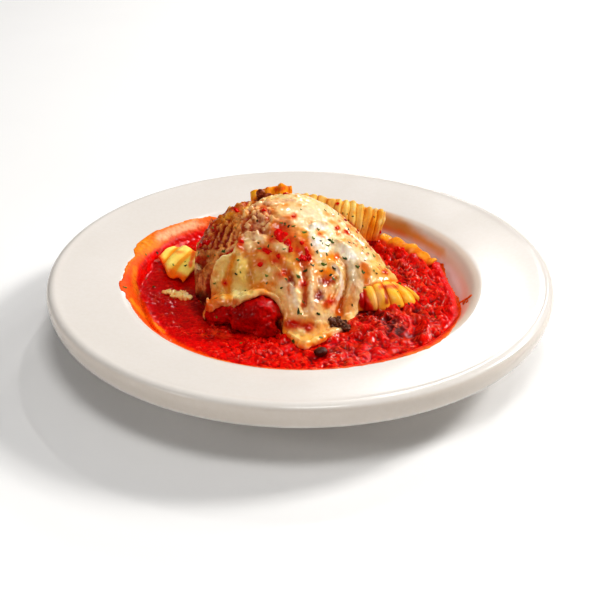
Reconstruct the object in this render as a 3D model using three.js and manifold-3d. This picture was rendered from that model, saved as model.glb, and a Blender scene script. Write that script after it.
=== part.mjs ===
// A wide-rimmed pasta plate that holds a mound of lasagna: curly-edged sheets round a meat
// filling, under a blanket of melted cheese, in a pool of chunky tomato sauce.
// Millimetres, +Z up, +X to the diner's right, +Y away from the diner.
// The origin is the middle of the circle that the plate's foot stands on.
import * as THREE from "three";
import { mergeVertices } from "three/addons/utils/BufferGeometryUtils.js";
import Module from "manifold-3d";

const wasm = await Module();
wasm.setup();

// ---------------------------------------------------------------- driving dimensions
const PLATE_R = 152; // outer radius, a 12 inch plate
const PLATE_TOP = 42; // height of the rolled edge's crest
const WELL_EDGE_R = 108; // where the flat rim turns down into the well
const FLOOR_Z = 11; // glazed floor of the well
const FOOT_R = 73; // outside of the foot ring
const AROUND = 40; // facets round the plate
const GAP = 0.45; // clearance between pieces that touch

const SAUCE_Z = 27; // level of the sauce
const TOP_Z = 75; // highest point of the filling, under the cheese
const PEAK_X = -8;
const LEFT_RUN = 63; // peak to the mound's left end
const RIGHT_RUN = 72; // peak to its right end
const CHEESE_T = 3; // thickness of the melted cheese
const SHEET_T = 2.2; // thickness of a cooked pasta sheet

// ---------------------------------------------------------------- small helpers
const clamp = (t, a = 0, b = 1) => Math.min(b, Math.max(a, t));
const smooth = (a, b, x) => {
  const t = clamp((x - a) / (b - a));
  return t * t * (3 - 2 * t);
};
const mix = (a, b, t) => a + (b - a) * t;
const smax = (a, b, k) => {
  const h = Math.max(k - Math.abs(a - b), 0) / k;
  return Math.max(a, b) + (h * h * k) / 4;
};
// Smooth line through [x, value] stations.
const through = (stations) => (x) => {
  const s = stations;
  if (x <= s[0][0]) return s[0][1];
  if (x >= s[s.length - 1][0]) return s[s.length - 1][1];
  let i = 0;
  while (x > s[i + 1][0]) i++;
  const slope = (j) =>
    j <= 0 || j >= s.length - 1
      ? 0
      : (s[j + 1][1] - s[j - 1][1]) / (s[j + 1][0] - s[j - 1][0]);
  const w = s[i + 1][0] - s[i][0],
    t = (x - s[i][0]) / w,
    t2 = t * t,
    t3 = t2 * t;
  return (
    (2 * t3 - 3 * t2 + 1) * s[i][1] +
    (t3 - 2 * t2 + t) * w * slope(i) +
    (-2 * t3 + 3 * t2) * s[i + 1][1] +
    (t3 - t2) * w * slope(i + 1)
  );
};
// A round swelling on the plan, 1 at its middle and 0 at its edge.
const swell = (x, y, cx, cy, rx, ry, turn = 0) => {
  const c = Math.cos(turn),
    s = Math.sin(turn),
    u = ((x - cx) * c + (y - cy) * s) / rx,
    v = (-(x - cx) * s + (y - cy) * c) / ry,
    q = 1 - (u * u + v * v);
  return q <= 0 ? 0 : q * q * (3 - 2 * q);
};
// Low rolling lumps.
const lumps = (x, y, size, phase = 0) =>
  (Math.sin(x / size + phase) * Math.cos(y / (size * 0.83) + phase * 1.7) +
    0.6 * Math.sin((x + y) / (size * 0.61) + phase * 2.3) +
    0.5 * Math.cos((x - 1.3 * y) / (size * 0.47) - phase)) /
  2.1;

// ---------------------------------------------------------------- solids
const bare = (g) => {
  const o = g.index ? g.toNonIndexed() : g.clone();
  for (const k of Object.keys(o.attributes))
    if (k !== "position") o.deleteAttribute(k);
  return mergeVertices(o, 1e-3);
};
const toSolid = (g) => {
  const m = bare(g);
  return new wasm.Manifold(
    new wasm.Mesh({
      numProp: 3,
      vertProperties: new Float32Array(m.attributes.position.array),
      triVerts: new Uint32Array(m.index.array),
    }),
  );
};
const toGeometry = (solid) => {
  const m = solid.getMesh(),
    p = new Float32Array(m.numVert * 3);
  for (let i = 0; i < m.numVert; i++)
    p.set(m.vertProperties.subarray(i * m.numProp, i * m.numProp + 3), i * 3);
  const g = new THREE.BufferGeometry();
  g.setAttribute("position", new THREE.BufferAttribute(p, 3));
  g.setIndex(new THREE.BufferAttribute(new Uint32Array(m.triVerts), 1));
  return g;
};
const largest = (solid) =>
  solid.decompose().reduce((a, b) => (b.volume() > a.volume() ? b : a));
// A solid cut by its neighbours, with triangles too small to matter merged away.
const cut = (solid, ...cutters) => {
  let s = solid;
  for (const c of cutters) s = s.subtract(c);
  return largest(s);
};

// A heap: a ball whose upper rows are laid over top(x, y) and whose lower rows are laid on
// under(x, y), inside the outline reach(angle) round a middle point, with a low wall where
// the two meet. below lists how far out the lower rows are, from the rim to the middle.
// grow swells it all round, to cut a neighbour with clearance.
function heap({ middle, reach, top, under, around, rings, below, crowd = 1 }, grow = 0) {
  const ringsUnder = below.length;
  const g = new THREE.SphereGeometry(1, around, rings + ringsUnder);
  const p = g.attributes.position,
    e = 0.4;
  const steep = (h, x, y, f) => {
    if (!grow) return 0;
    const a = (h(x + e, y, f) - h(x - e, y, f)) / (2 * e),
      b = (h(x, y + e, f) - h(x, y - e, f)) / (2 * e);
    return grow * Math.min(3.5, Math.sqrt(1 + a * a + b * b));
  };
  for (let i = 0; i < p.count; i++) {
    const row = Math.round(
      (Math.acos(clamp(p.getY(i), -1, 1)) / Math.PI) * (rings + ringsUnder),
    );
    const angle = Math.atan2(-p.getZ(i), p.getX(i));
    const upper = row <= rings;
    const f = upper ? 1 - Math.pow(1 - row / rings, crowd) : below[row - rings - 1];
    const r = row === 0 || row === rings + ringsUnder ? 0 : f * reach(angle);
    const x = middle[0] + r * Math.cos(angle),
      y = middle[1] + r * Math.sin(angle),
      rim = f >= 1,
      out = rim ? grow : 0;
    const z = upper
      ? top(x, y, f) + steep(top, x, y, f)
      : under(x, y, f) - steep(under, x, y, f) * (rim ? 1.8 : 1);
    p.setXYZ(i, x + out * Math.cos(angle), y + out * Math.sin(angle), z);
  }
  return toSolid(g);
}
const withRoom = (spec) => heap(spec, GAP);

// A pasta sheet: a thin box bent onto at(u, v), thickened along the surface normal.
function sheet({ at, along, across, thick = SHEET_T, over = 0 }) {
  const g = new THREE.BoxGeometry(1, 1, 1, along, across, 1);
  const p = g.attributes.position,
    e = 1e-3;
  const P = (u, v) => new THREE.Vector3(...at(u, v));
  for (let i = 0; i < p.count; i++) {
    const u = p.getX(i) + 0.5,
      v = p.getY(i) + 0.5,
      w = p.getZ(i);
    const u0 = clamp(u, e, 1 - e),
      v0 = clamp(v, e, 1 - e);
    const a = P(u0 + e, v0).sub(P(u0 - e, v0)),
      b = P(u0, v0 + e).sub(P(u0, v0 - e));
    const n = new THREE.Vector3().crossVectors(a, b).normalize();
    const o = P(u, v);
    if (over) {
      // past its own edges, so that it clears them too
      if (u < e) o.addScaledVector(a.normalize(), -over);
      if (u > 1 - e) o.addScaledVector(a.normalize(), over);
      if (v < e) o.addScaledVector(b.normalize(), -over);
      if (v > 1 - e) o.addScaledVector(b.normalize(), over);
    }
    o.addScaledVector(n, w * thick);
    p.setXYZ(i, o.x, o.y, o.z);
  }
  return toSolid(g);
}

// An uneven lump: a ball with three half-axes and rolling dents.
function lump(
  { at, half, turn = 0, tilt = 0, dents = 0.12, size = 0.5, phase = 0, detail = 8 },
  grow = 0,
) {
  const g = new THREE.SphereGeometry(1, Math.round(detail * 1.5), detail);
  const p = g.attributes.position;
  for (let i = 0; i < p.count; i++) {
    const x = p.getX(i),
      y = p.getY(i),
      z = p.getZ(i);
    const k = 1 + dents * lumps(x + 0.7 * z, y - 0.5 * z, size, phase);
    p.setXYZ(
      i,
      x * (k * half[0] + grow),
      y * (k * half[1] + grow),
      z * (k * half[2] + grow),
    );
  }
  g.rotateX(tilt);
  g.rotateZ(turn);
  g.translate(...at);
  return toSolid(g);
}
const roomFor = (spec) => lump(spec, GAP * 1.3);

// ---------------------------------------------------------------- the plate
// Radius and height along the glazed top, round the rolled edge, and back under to the foot.
const PLATE_PROFILE = [
  [0, FLOOR_Z],
  [72, FLOOR_Z + 0.2],
  [83, 13.2],
  [91, 17.6],
  [97, 24.4],
  [102, 31.8],
  [105, 34.8],
  [WELL_EDGE_R, 36.2],
  [114, 37.3],
  [143, 41.3],
  [148.3, PLATE_TOP],
  [151.2, 40.4],
  [PLATE_R, 36.5],
  [149.2, 27.8],
  [146, 28.2],
  [141, 33.4],
  [113, 29.6],
  [103, 21.4],
  [92, 10.6],
  [FOOT_R + 3, 5.2],
  [FOOT_R, 0],
  [FOOT_R - 4.2, 0],
  [FOOT_R - 6, 5],
  [0, 5],
];
const WALL = 9; // how many of those stations are on the glazed top
const wallZ = (r) => {
  const s = PLATE_PROFILE;
  for (let i = 0; i < WALL; i++)
    if (r <= s[i + 1][0])
      return mix(s[i][1], s[i + 1][1], (r - s[i][0]) / (s[i + 1][0] - s[i][0]));
  return s[WALL][1];
};
const plate = new THREE.LatheGeometry(
  PLATE_PROFILE.map(([r, z]) => new THREE.Vector2(r, z)).reverse(),
  AROUND,
);
plate.rotateX(Math.PI / 2);

// ---------------------------------------------------------------- the mound's form
// Height of the crest that runs from left to right, and where it runs.
const ridgeZ = (x) => {
  const left = x < PEAK_X,
    t = clamp(left ? (PEAK_X - x) / LEFT_RUN : (x - PEAK_X) / RIGHT_RUN);
  const k = left
    ? Math.pow(1 - Math.pow(t, 2.6), 0.625)
    : Math.pow(1 - Math.pow(t, 2.2), 1.6);
  return SAUCE_Z + (TOP_Z - SAUCE_Z) * k;
};
const ridgeY = (x) => 25 - 23 * Math.pow((x + 5) / 65, 2);
// Where the filling's front and back slopes meet the sauce.
const frontFoot = through([
  [-70, -6],
  [-58, -18],
  [-46, -27],
  [-30, -35],
  [-16, -45],
  [-4, -59],
  [10, -59],
  [20, -46],
  [32, -33],
  [48, -22],
  [64, -15],
]);
const backFoot = (x) => 4 + 58 * Math.sqrt(Math.max(0, 1 - Math.pow((x + 4) / 70, 2)));
const coreZ = (x, y) => {
  const yr = ridgeY(x),
    zr = ridgeZ(x),
    yf = frontFoot(x),
    yb = Math.max(backFoot(x), yr + 8);
  const t = y < yr ? (y - yf) / (yr - yf) : (yb - y) / (yb - yr);
  const k = t >= 0 ? Math.sin((Math.PI / 2) * Math.pow(clamp(t), 0.86)) : 2.2 * t;
  let z = SAUCE_Z - 1 + (zr - SAUCE_Z + 1) * k;
  z += 4.5 * swell(x, y, -42, -20, 20, 18, 0.3); // bulge on the left
  z += 3.0 * swell(x, y, 44, -8, 18, 14, -0.5); // bulge on the right
  z -= 4.0 * swell(x, y, -50, 2, 9, 16, -0.7); // hollow between the left bulge and the top
  z += 3.0 * swell(x, y, -48, 18, 20, 18); // shoulder that the cheese doesn't cover
  z += 1.1 * lumps(x, y, 7.5, 1.1) * clamp(k * 2);
  return z;
};
const coreReach = through([
  [-Math.PI, 66],
  [-2.6, 63],
  [-2.1, 54],
  [-1.57, 62],
  [-1.0, 56],
  [-0.5, 60],
  [0, 66],
  [0.6, 62],
  [1.2, 62],
  [1.9, 62],
  [2.5, 64],
  [Math.PI, 66],
]);
const fillingSpec = {
  middle: [-3, 0],
  reach: coreReach,
  top: (x, y, f) => (f >= 1 ? 20 : Math.max(coreZ(x, y), 20)),
  under: () => FLOOR_Z + 1.0,
  around: 32,
  rings: 8,
  below: [1, 0],
  crowd: 1.25,
};

// ---------------------------------------------------------------- pasta sheets
const curve = (points) =>
  new THREE.CatmullRomCurve3(points.map((q) => new THREE.Vector3(...q)));
// A sheet whose free edge runs along one curve and whose other edge is hidden along another.
// Waves run across it, deepest at the free edge. Its bed is the same slab without waves, as
// deep as they are, which its neighbours are cut by.
function ruffled({ edge, inner, waves, height, push, along, across, bow = 0, phase = 0 }) {
  const e = curve(edge),
    n = curve(inner),
    dir = new THREE.Vector3(...push).normalize();
  const form = (wave) => (u, v) => {
    const a = n.getPoint(clamp(u)),
      b = e.getPoint(clamp(u));
    const q = a.lerp(b, v);
    const w = wave * Math.sin(2 * Math.PI * (waves * u + phase)) * smooth(0.0, 0.8, v);
    q.addScaledVector(dir, w + bow * 4 * v * (1 - v));
    return [q.x, q.y, q.z];
  };
  const piece = sheet({ at: form(height), along, across });
  const bed = sheet({
    at: form(0),
    along: Math.max(8, Math.round(along / 3)),
    across,
    thick: SHEET_T + 2 * height + 2 * GAP,
    over: GAP * 1.4,
  });
  return { piece, bed: bed.add(piece) };
}
const noodleBack = ruffled({
  edge: [
    [-2, 47, 70],
    [12, 51, 66],
    [29, 56, 61],
    [43, 61, 55],
    [56, 67, 49],
  ],
  inner: [
    [-4, 40, 52],
    [10, 42, 48],
    [25, 45, 42],
    [39, 50, 36],
    [51, 57, 31],
  ],
  waves: 9,
  height: 1.3,
  push: [0.2, -0.85, 0.45],
  bow: 1.5,
  along: 36,
  across: 2,
});
const noodleRightEdge = ruffled({
  edge: [
    [55, 66.5, 31.5],
    [66, 57, 32.5],
    [78, 43, 32],
    [87, 28, 31.5],
  ],
  inner: [
    [46, 56, 26.5],
    [57, 47, 26],
    [67, 36, 26],
    [75, 22, 26],
  ],
  waves: 4.5,
  height: 1.1,
  push: [0.1, -0.3, 1],
  bow: 1.0,
  along: 18,
  across: 2,
});
const noodleRightFront = ruffled({
  edge: [
    [33, -28.5, 27],
    [46, -28, 27],
    [60, -25, 27],
    [73, -16, 27],
  ],
  inner: [
    [31, -15, 38],
    [41, -13, 38.5],
    [52, -9, 36],
    [60, -1, 31],
  ],
  waves: 5,
  height: 1.2,
  push: [0.35, -0.75, 0.5],
  bow: 4.2,
  along: 20,
  across: 3,
  phase: 0.1,
});
const noodleLeft = ruffled({
  edge: [
    [-88, 31, 28.8],
    [-84, 20, 30.5],
    [-78, 12, 30],
    [-73, 7, 28],
  ],
  inner: [
    [-72, 41, 31],
    [-65, 32, 34],
    [-60, 25, 34],
    [-57, 17, 31],
  ],
  waves: 3,
  height: 1.2,
  push: [-0.2, -0.1, 1],
  bow: 1.5,
  along: 12,
  across: 3,
  phase: 0.2,
});
const noodleCurl = ruffled({
  edge: [
    [-32, 45, 71.5],
    [-23, 44, 74.5],
    [-13, 44, 77.5],
    [-5, 46, 76],
  ],
  inner: [
    [-29, 37, 60],
    [-22, 36, 61],
    [-14, 37, 62],
    [-7, 40, 61],
  ],
  waves: 3,
  height: 1.3,
  push: [0, -0.9, 0.4],
  bow: 1.2,
  along: 12,
  across: 2,
});
const beds = [noodleBack, noodleRightEdge, noodleRightFront, noodleLeft, noodleCurl].map(
  (n) => n.bed,
);

// ---------------------------------------------------------------- lumps of food
const meatballSpecs = [
  { at: [-25, -44.5, 33.5], half: [14.5, 12.5, 13.0], turn: 0.25, dents: 0.1, size: 0.42, phase: 0.6, detail: 10 },
  { at: [-43, -35, 29.5], half: [13, 9, 9.5], turn: 0.5, dents: 0.12, size: 0.4, phase: 2.1, detail: 8 },
];
const crumbleSpec = { at: [-22.5, 37, 70.5], half: [5.2, 5, 7.6], dents: 0.2, size: 0.36, phase: 3.0, detail: 8 };
const tomatoSpec = { at: [-9.6, -11, 65.6], half: [5.4, 9, 4], turn: 0.455, tilt: 0.32, dents: 0.16, size: 0.5, phase: 1.2, detail: 8 };
const mushroomFrontSpec = { at: [20, -48, 30.4], half: [6.6, 3.6, 3.2], turn: -0.35, dents: 0.18, size: 0.4, phase: 4.4, detail: 7 };
const mushroomLowSpec = { at: [11.5, -76.5, 28.4], half: [4.2, 3.8, 2.6], turn: 0.3, dents: 0.16, size: 0.4, phase: 5.2, detail: 6 };
const cheeseBitSpec = { at: [-74, -7.5, 28.4], half: [8.5, 4.0, 2.6], turn: -0.35, dents: 0.14, size: 0.5, phase: 0.4, detail: 7 };
const meatball = lump(meatballSpecs[0]).add(lump(meatballSpecs[1]));
const lumpRooms = [
  roomFor(meatballSpecs[0]).add(roomFor(meatballSpecs[1])),
  roomFor(crumbleSpec),
  roomFor(tomatoSpec),
  roomFor(mushroomFrontSpec),
  roomFor(mushroomLowSpec),
  roomFor(cheeseBitSpec),
];

// ---------------------------------------------------------------- cheese
// Reach of the cheese round its middle, by direction: tongue in front, arch over the
// meatball, lobe at the left, and the corner over the sheet at the right.
const D = Math.PI / 180;
const cheeseReach = through([
  [-180 * D, 47],
  [-170 * D, 54],
  [-158 * D, 60],
  [-149 * D, 44],
  [-138 * D, 38],
  [-124 * D, 35],
  [-112 * D, 37],
  [-104 * D, 45],
  [-98 * D, 53],
  [-91 * D, 59],
  [-83 * D, 60],
  [-75 * D, 56],
  [-63 * D, 50],
  [-50 * D, 46],
  [-35 * D, 42],
  [-22 * D, 41],
  [-10 * D, 47],
  [0 * D, 53],
  [10 * D, 60],
  [22 * D, 56],
  [50 * D, 49],
  [90 * D, 50],
  [120 * D, 50],
  [145 * D, 50],
  [162 * D, 45],
  [180 * D, 47],
]);
const bedZ = (x, y) => smax(coreZ(x, y), SAUCE_Z + 0.4, 3);
// How much taller than it is thick a layer stands on a slope.
const onSlope = (h, x, y, most = 2.6) => {
  const e = 1.5,
    a = (h(x + e, y) - h(x - e, y)) / (2 * e),
    b = (h(x, y + e) - h(x, y - e)) / (2 * e);
  return Math.min(most, Math.sqrt(1 + a * a + b * b));
};
const cheeseZ = (x, y) => {
  let t = CHEESE_T;
  t += 2.2 * swell(x, y, 22, 2, 26, 11, -1.0); // thick stream on the right
  t += 1.6 * swell(x, y, 26, -24, 8, 22, 0.15);
  t += 1.4 * swell(x, y, -42, -24, 18, 15, 0.2); // lobe
  t -= 1.4 * swell(x, y, 15, -28, 4.5, 24, 0.1); // valley beside the stream
  t -= 1.2 * swell(x, y, -22, -24, 5, 22, -0.2);
  return bedZ(x, y) + t * onSlope(bedZ, x, y);
};
const cheeseSpec = {
  middle: [0, -10],
  reach: cheeseReach,
  top: (x, y, f) =>
    mix(bedZ(x, y) + 0.4, cheeseZ(x, y), Math.pow(1 - Math.pow(clamp(f), 9), 0.5)),
  under: (x, y) => bedZ(x, y) - 1.6,
  around: 36,
  rings: 8,
  below: [1, 0.86, 0.7, 0.5, 0.25, 0],
  crowd: 1.5,
};

// ---------------------------------------------------------------- sauce
const sauceZ = (x, y) => {
  const r = Math.hypot(x, y);
  let z = SAUCE_Z + 0.9 * lumps(x, y, 4.6, 0.3) * smooth(99, 88, r) * smooth(-80, -20, x);
  z += 4.2 * swell(x, y, 44, -48, 26, 18, 0.5); // chunky bank in front on the right
  z += 3.2 * swell(x, y, 66, 10, 24, 34, -0.2); // sauce over the sheet at the right
  z += 3.0 * swell(x, y, 30, 66, 34, 18, -0.3);
  z -= 2.6 * swell(x, y, 49, -38, 9, 6, 0.3); // dark hollow
  return z;
};
const rimZ = (x, y) => wallZ(Math.hypot(x, y)) + GAP + 0.3;
const sauceSpec = {
  middle: [0, 0],
  reach: (a) => 98.2 + 1.0 * Math.sin(2 * a + 0.6) + 0.6 * Math.sin(5 * a + 1.1),
  top: (x, y, f) =>
    Math.max(mix(sauceZ(x, y), rimZ(x, y) + 0.5, Math.pow(f, 14)), rimZ(x, y) + 0.5),
  under: rimZ,
  around: 36,
  rings: 7,
  below: [1, 0.93, 0.845, 0.73, 0],
  crowd: 1.3,
};

// ---------------------------------------------------------------- fitting them together
const core = cut(heap(fillingSpec), ...beds, ...lumpRooms);
const cheese = cut(heap(cheeseSpec), withRoom(fillingSpec), ...beds, ...lumpRooms);
const sauce = cut(
  heap(sauceSpec),
  withRoom(fillingSpec),
  withRoom(cheeseSpec),
  ...beds,
  ...lumpRooms,
);
const crumble = cut(lump(crumbleSpec), noodleCurl.bed);

// ---------------------------------------------------------------- the scene graph
const group = new THREE.Group();
group.name = "lasagna_plate";
const finish = {
  plate: { color: 0xf1ebe4, roughness: 0.16, metalness: 0 },
  sauce: { color: 0xc4160a, roughness: 0.22, metalness: 0 },
  filling: { color: 0xa5552f, roughness: 0.4, metalness: 0 },
  cheese: { color: 0xf0cf93, roughness: 0.28, metalness: 0 },
  pasta: { color: 0xf2b742, roughness: 0.35, metalness: 0 },
  meat: { color: 0x8f120c, roughness: 0.25, metalness: 0 },
  brown: { color: 0x4a3320, roughness: 0.4, metalness: 0 },
  tomato: { color: 0xd81408, roughness: 0.2, metalness: 0 },
};
function add(name, shape, slot) {
  const geometry = shape.isBufferGeometry ? shape : toGeometry(shape);
  const mesh = new THREE.Mesh(geometry, new THREE.MeshStandardMaterial(finish[slot]));
  mesh.name = name;
  group.add(mesh);
}
add("plate", plate, "plate");
add("sauce", sauce, "sauce");
add("meat_filling", core, "filling");
add("melted_cheese", cheese, "cheese");
add("noodle_back", noodleBack.piece, "pasta");
add("noodle_right_edge", noodleRightEdge.piece, "pasta");
add("noodle_right_front", noodleRightFront.piece, "pasta");
add("noodle_left", noodleLeft.piece, "pasta");
add("noodle_back_curl", noodleCurl.piece, "pasta");
add("meatball", meatball, "meat");
add("meat_crumble_back", crumble, "brown");
add("tomato_chunk", lump(tomatoSpec), "tomato");
add("mushroom_front", lump(mushroomFrontSpec), "brown");
add("mushroom_low", lump(mushroomLowSpec), "brown");
add("cheese_bit", lump(cheeseBitSpec), "cheese");

export default group;
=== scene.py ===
"""Looks of a plate of lasagna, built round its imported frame.

All shapes are worked out in millimetres in the part's own frame and turned into metres when
a mesh is made. Folds, stains and flakes are named features, placed by where they show in a
600 x 600 view and then laid on the surface that carries them.
"""

import bpy
import numpy as np
from mathutils import Matrix, Vector
from mathutils.bvhtree import BVHTree


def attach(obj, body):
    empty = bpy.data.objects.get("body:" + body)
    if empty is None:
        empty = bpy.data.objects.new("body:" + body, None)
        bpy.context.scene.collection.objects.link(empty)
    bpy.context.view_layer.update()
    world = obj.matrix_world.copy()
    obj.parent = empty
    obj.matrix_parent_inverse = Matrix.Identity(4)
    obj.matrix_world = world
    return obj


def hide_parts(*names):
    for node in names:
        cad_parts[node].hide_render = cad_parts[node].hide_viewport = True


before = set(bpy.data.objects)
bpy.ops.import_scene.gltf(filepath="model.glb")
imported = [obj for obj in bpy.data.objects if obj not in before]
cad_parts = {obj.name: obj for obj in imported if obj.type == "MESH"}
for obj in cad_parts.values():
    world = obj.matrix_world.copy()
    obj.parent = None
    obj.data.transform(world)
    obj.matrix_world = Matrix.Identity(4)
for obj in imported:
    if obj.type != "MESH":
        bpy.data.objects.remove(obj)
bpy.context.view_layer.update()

# ---------------------------------------------------------------- the view, millimetres
EYE = np.array([0.0, -647.21, 377.58])
AHEAD = np.array([-0.000226, 0.874750, -0.484575])
RIGHT = np.array([0.999999, 0.000930, 0.001212])
UP = np.array([-0.001511, 0.484574, 0.874749])
FOCAL = 1200.0  # pixels, in a 600 x 600 view


def project(p):
    v = np.asarray(p, float) - EYE
    d = v @ AHEAD
    return np.stack([300 + FOCAL * (v @ RIGHT) / d, 300 - FOCAL * (v @ UP) / d], -1)


def sight(x, y):
    d = AHEAD + RIGHT * (x - 300) / FOCAL + UP * (300 - y) / FOCAL
    return d / np.linalg.norm(d)


# ---------------------------------------------------------------- numbers
def smooth(a, b, x):
    t = np.clip((x - a) / (b - a), 0, 1)
    return t * t * (3 - 2 * t)


def mix(a, b, t):
    return a + (b - a) * t


def smax(a, b, k):
    h = np.maximum(k - np.abs(a - b), 0) / k
    return np.maximum(a, b) + h * h * k / 4


def smin(a, b, k):
    return -smax(-a, -b, k)


def through(stations):
    """Smooth line through (x, value) stations."""
    xs = np.array([q[0] for q in stations], float)
    vs = np.array([q[1] for q in stations], float)
    slope = np.zeros(len(xs))
    slope[1:-1] = (vs[2:] - vs[:-2]) / (xs[2:] - xs[:-2])

    def f(x):
        x = np.clip(np.asarray(x, float), xs[0], xs[-1])
        i = np.clip(np.searchsorted(xs, x, side="left") - 1, 0, len(xs) - 2)
        w = xs[i + 1] - xs[i]
        t = (x - xs[i]) / w
        t2, t3 = t * t, t * t * t
        return (
            (2 * t3 - 3 * t2 + 1) * vs[i]
            + (t3 - 2 * t2 + t) * w * slope[i]
            + (-2 * t3 + 3 * t2) * vs[i + 1]
            + (t3 - t2) * w * slope[i + 1]
        )

    return f


def swell(x, y, cx, cy, rx, ry, turn=0.0):
    """A round swelling on the plan, 1 at its middle and 0 at its edge."""
    c, s = np.cos(turn), np.sin(turn)
    u = ((x - cx) * c + (y - cy) * s) / rx
    v = (-(x - cx) * s + (y - cy) * c) / ry
    q = np.clip(1 - (u * u + v * v), 0, None)
    return q * q * (3 - 2 * q)


def lumps(x, y, size, phase=0.0):
    return (
        np.sin(x / size + phase) * np.cos(y / (size * 0.83) + phase * 1.7)
        + 0.6 * np.sin((x + y) / (size * 0.61) + phase * 2.3)
        + 0.5 * np.cos((x - 1.3 * y) / (size * 0.47) - phase)
    ) / 2.1


def to_line(p, pts, width=None):
    """Distance from points p (n, k) to a polyline, and, with width, that line's width at
    the nearest place."""
    pts = np.asarray(pts, float)
    best = np.full(len(p), 1e9)
    wide = np.zeros(len(p))
    for i in range(len(pts) - 1):
        a, b = pts[i], pts[i + 1]
        ab = b - a
        t = np.clip(((p - a) @ ab) / max(1e-9, ab @ ab), 0, 1)
        d = np.linalg.norm(p - (a + t[:, None] * ab), axis=1)
        near = d < best
        best = np.where(near, d, best)
        if width is not None:
            wide = np.where(near, mix(width[i], width[i + 1], t), wide)
    return (best, wide) if width is not None else best


def inside_distance(x, y, poly):
    """Signed distance to a closed outline on the plan, negative inside."""
    p = np.stack([np.ravel(x), np.ravel(y)], -1)
    ring = np.vstack([poly, poly[:1]])
    d = to_line(p, ring)
    odd = np.zeros(len(p), bool)
    for (x0, y0), (x1, y1) in zip(ring[:-1], ring[1:]):
        if y0 == y1:
            continue
        cross = ((y0 > p[:, 1]) != (y1 > p[:, 1])) & (
            p[:, 0] < (x1 - x0) * (p[:, 1] - y0) / (y1 - y0) + x0
        )
        odd ^= cross
    return np.where(odd, -d, d).reshape(np.shape(x))


def rounded(points, times=2, closed=True):
    """Corner cutting."""
    p = np.asarray(points, float)
    for _ in range(times):
        q = np.roll(p, -1, 0) if closed else p[1:]
        a = p if closed else p[:-1]
        out = np.empty((2 * len(a), p.shape[1]))
        out[0::2] = 0.75 * a + 0.25 * q
        out[1::2] = 0.25 * a + 0.75 * q
        if not closed:
            out = np.vstack([p[:1], out, p[-1:]])
        p = out
    return p


# ---------------------------------------------------------------- noise
_rng = np.random.default_rng(20)
_GRAD = _rng.normal(size=(256, 3))
_GRAD /= np.linalg.norm(_GRAD, axis=1)[:, None]
_SPOT = _rng.random((1024, 3))


def _hash(i, j, k, seed):
    h = (i * 73856093) ^ (j * 19349663) ^ (k * 83492791) ^ (seed * 40503)
    h = (h ^ (h >> 13)) * 1274126177
    return (h ^ (h >> 16)) & 0xFFFF


def noise(p, size, seed=0):
    """Gradient noise, about -1 to 1."""
    q = np.asarray(p, float) / size
    b = np.floor(q).astype(np.int64)
    f = q - b
    u = f * f * f * (f * (f * 6 - 15) + 10)
    out = np.zeros(len(q))
    for dx in (0, 1):
        wx = u[:, 0] if dx else 1 - u[:, 0]
        for dy in (0, 1):
            wy = u[:, 1] if dy else 1 - u[:, 1]
            for dz in (0, 1):
                wz = u[:, 2] if dz else 1 - u[:, 2]
                g = _GRAD[_hash(b[:, 0] + dx, b[:, 1] + dy, b[:, 2] + dz, seed) & 255]
                d = (
                    g[:, 0] * (f[:, 0] - dx)
                    + g[:, 1] * (f[:, 1] - dy)
                    + g[:, 2] * (f[:, 2] - dz)
                )
                out += wx * wy * wz * d
    return out * 1.7


def fbm(p, size, octaves=3, seed=0, gain=0.5):
    out, amp, total = 0.0, 1.0, 0.0
    for o in range(octaves):
        out = out + amp * noise(p, size / 2**o, seed + 11 * o)
        total += amp
        amp *= gain
    return out / total


def grains(p, size, seed=0, jitter=0.9):
    """Distance to the nearest and second nearest seed of a scattered set, and a number that
    belongs to the nearest, all over size."""
    q = np.asarray(p, float) / size
    b = np.floor(q).astype(np.int64)
    f = q - b
    f1 = np.full(len(q), 9.0)
    f2 = np.full(len(q), 9.0)
    own = np.zeros(len(q))
    for dx in (-1, 0, 1):
        for dy in (-1, 0, 1):
            for dz in (-1, 0, 1):
                h = _hash(b[:, 0] + dx, b[:, 1] + dy, b[:, 2] + dz, seed)
                s = _SPOT[h & 1023]
                d = np.sqrt(
                    (dx + 0.5 + jitter * (s[:, 0] - 0.5) - f[:, 0]) ** 2
                    + (dy + 0.5 + jitter * (s[:, 1] - 0.5) - f[:, 1]) ** 2
                    + (dz + 0.5 + jitter * (s[:, 2] - 0.5) - f[:, 2]) ** 2
                )
                new = d < f1
                f2 = np.where(new, f1, np.minimum(f2, d))
                own = np.where(new, _SPOT[(h >> 3) & 1023, 1], own)
                f1 = np.minimum(f1, d)
    return f1, f2, own


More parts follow.
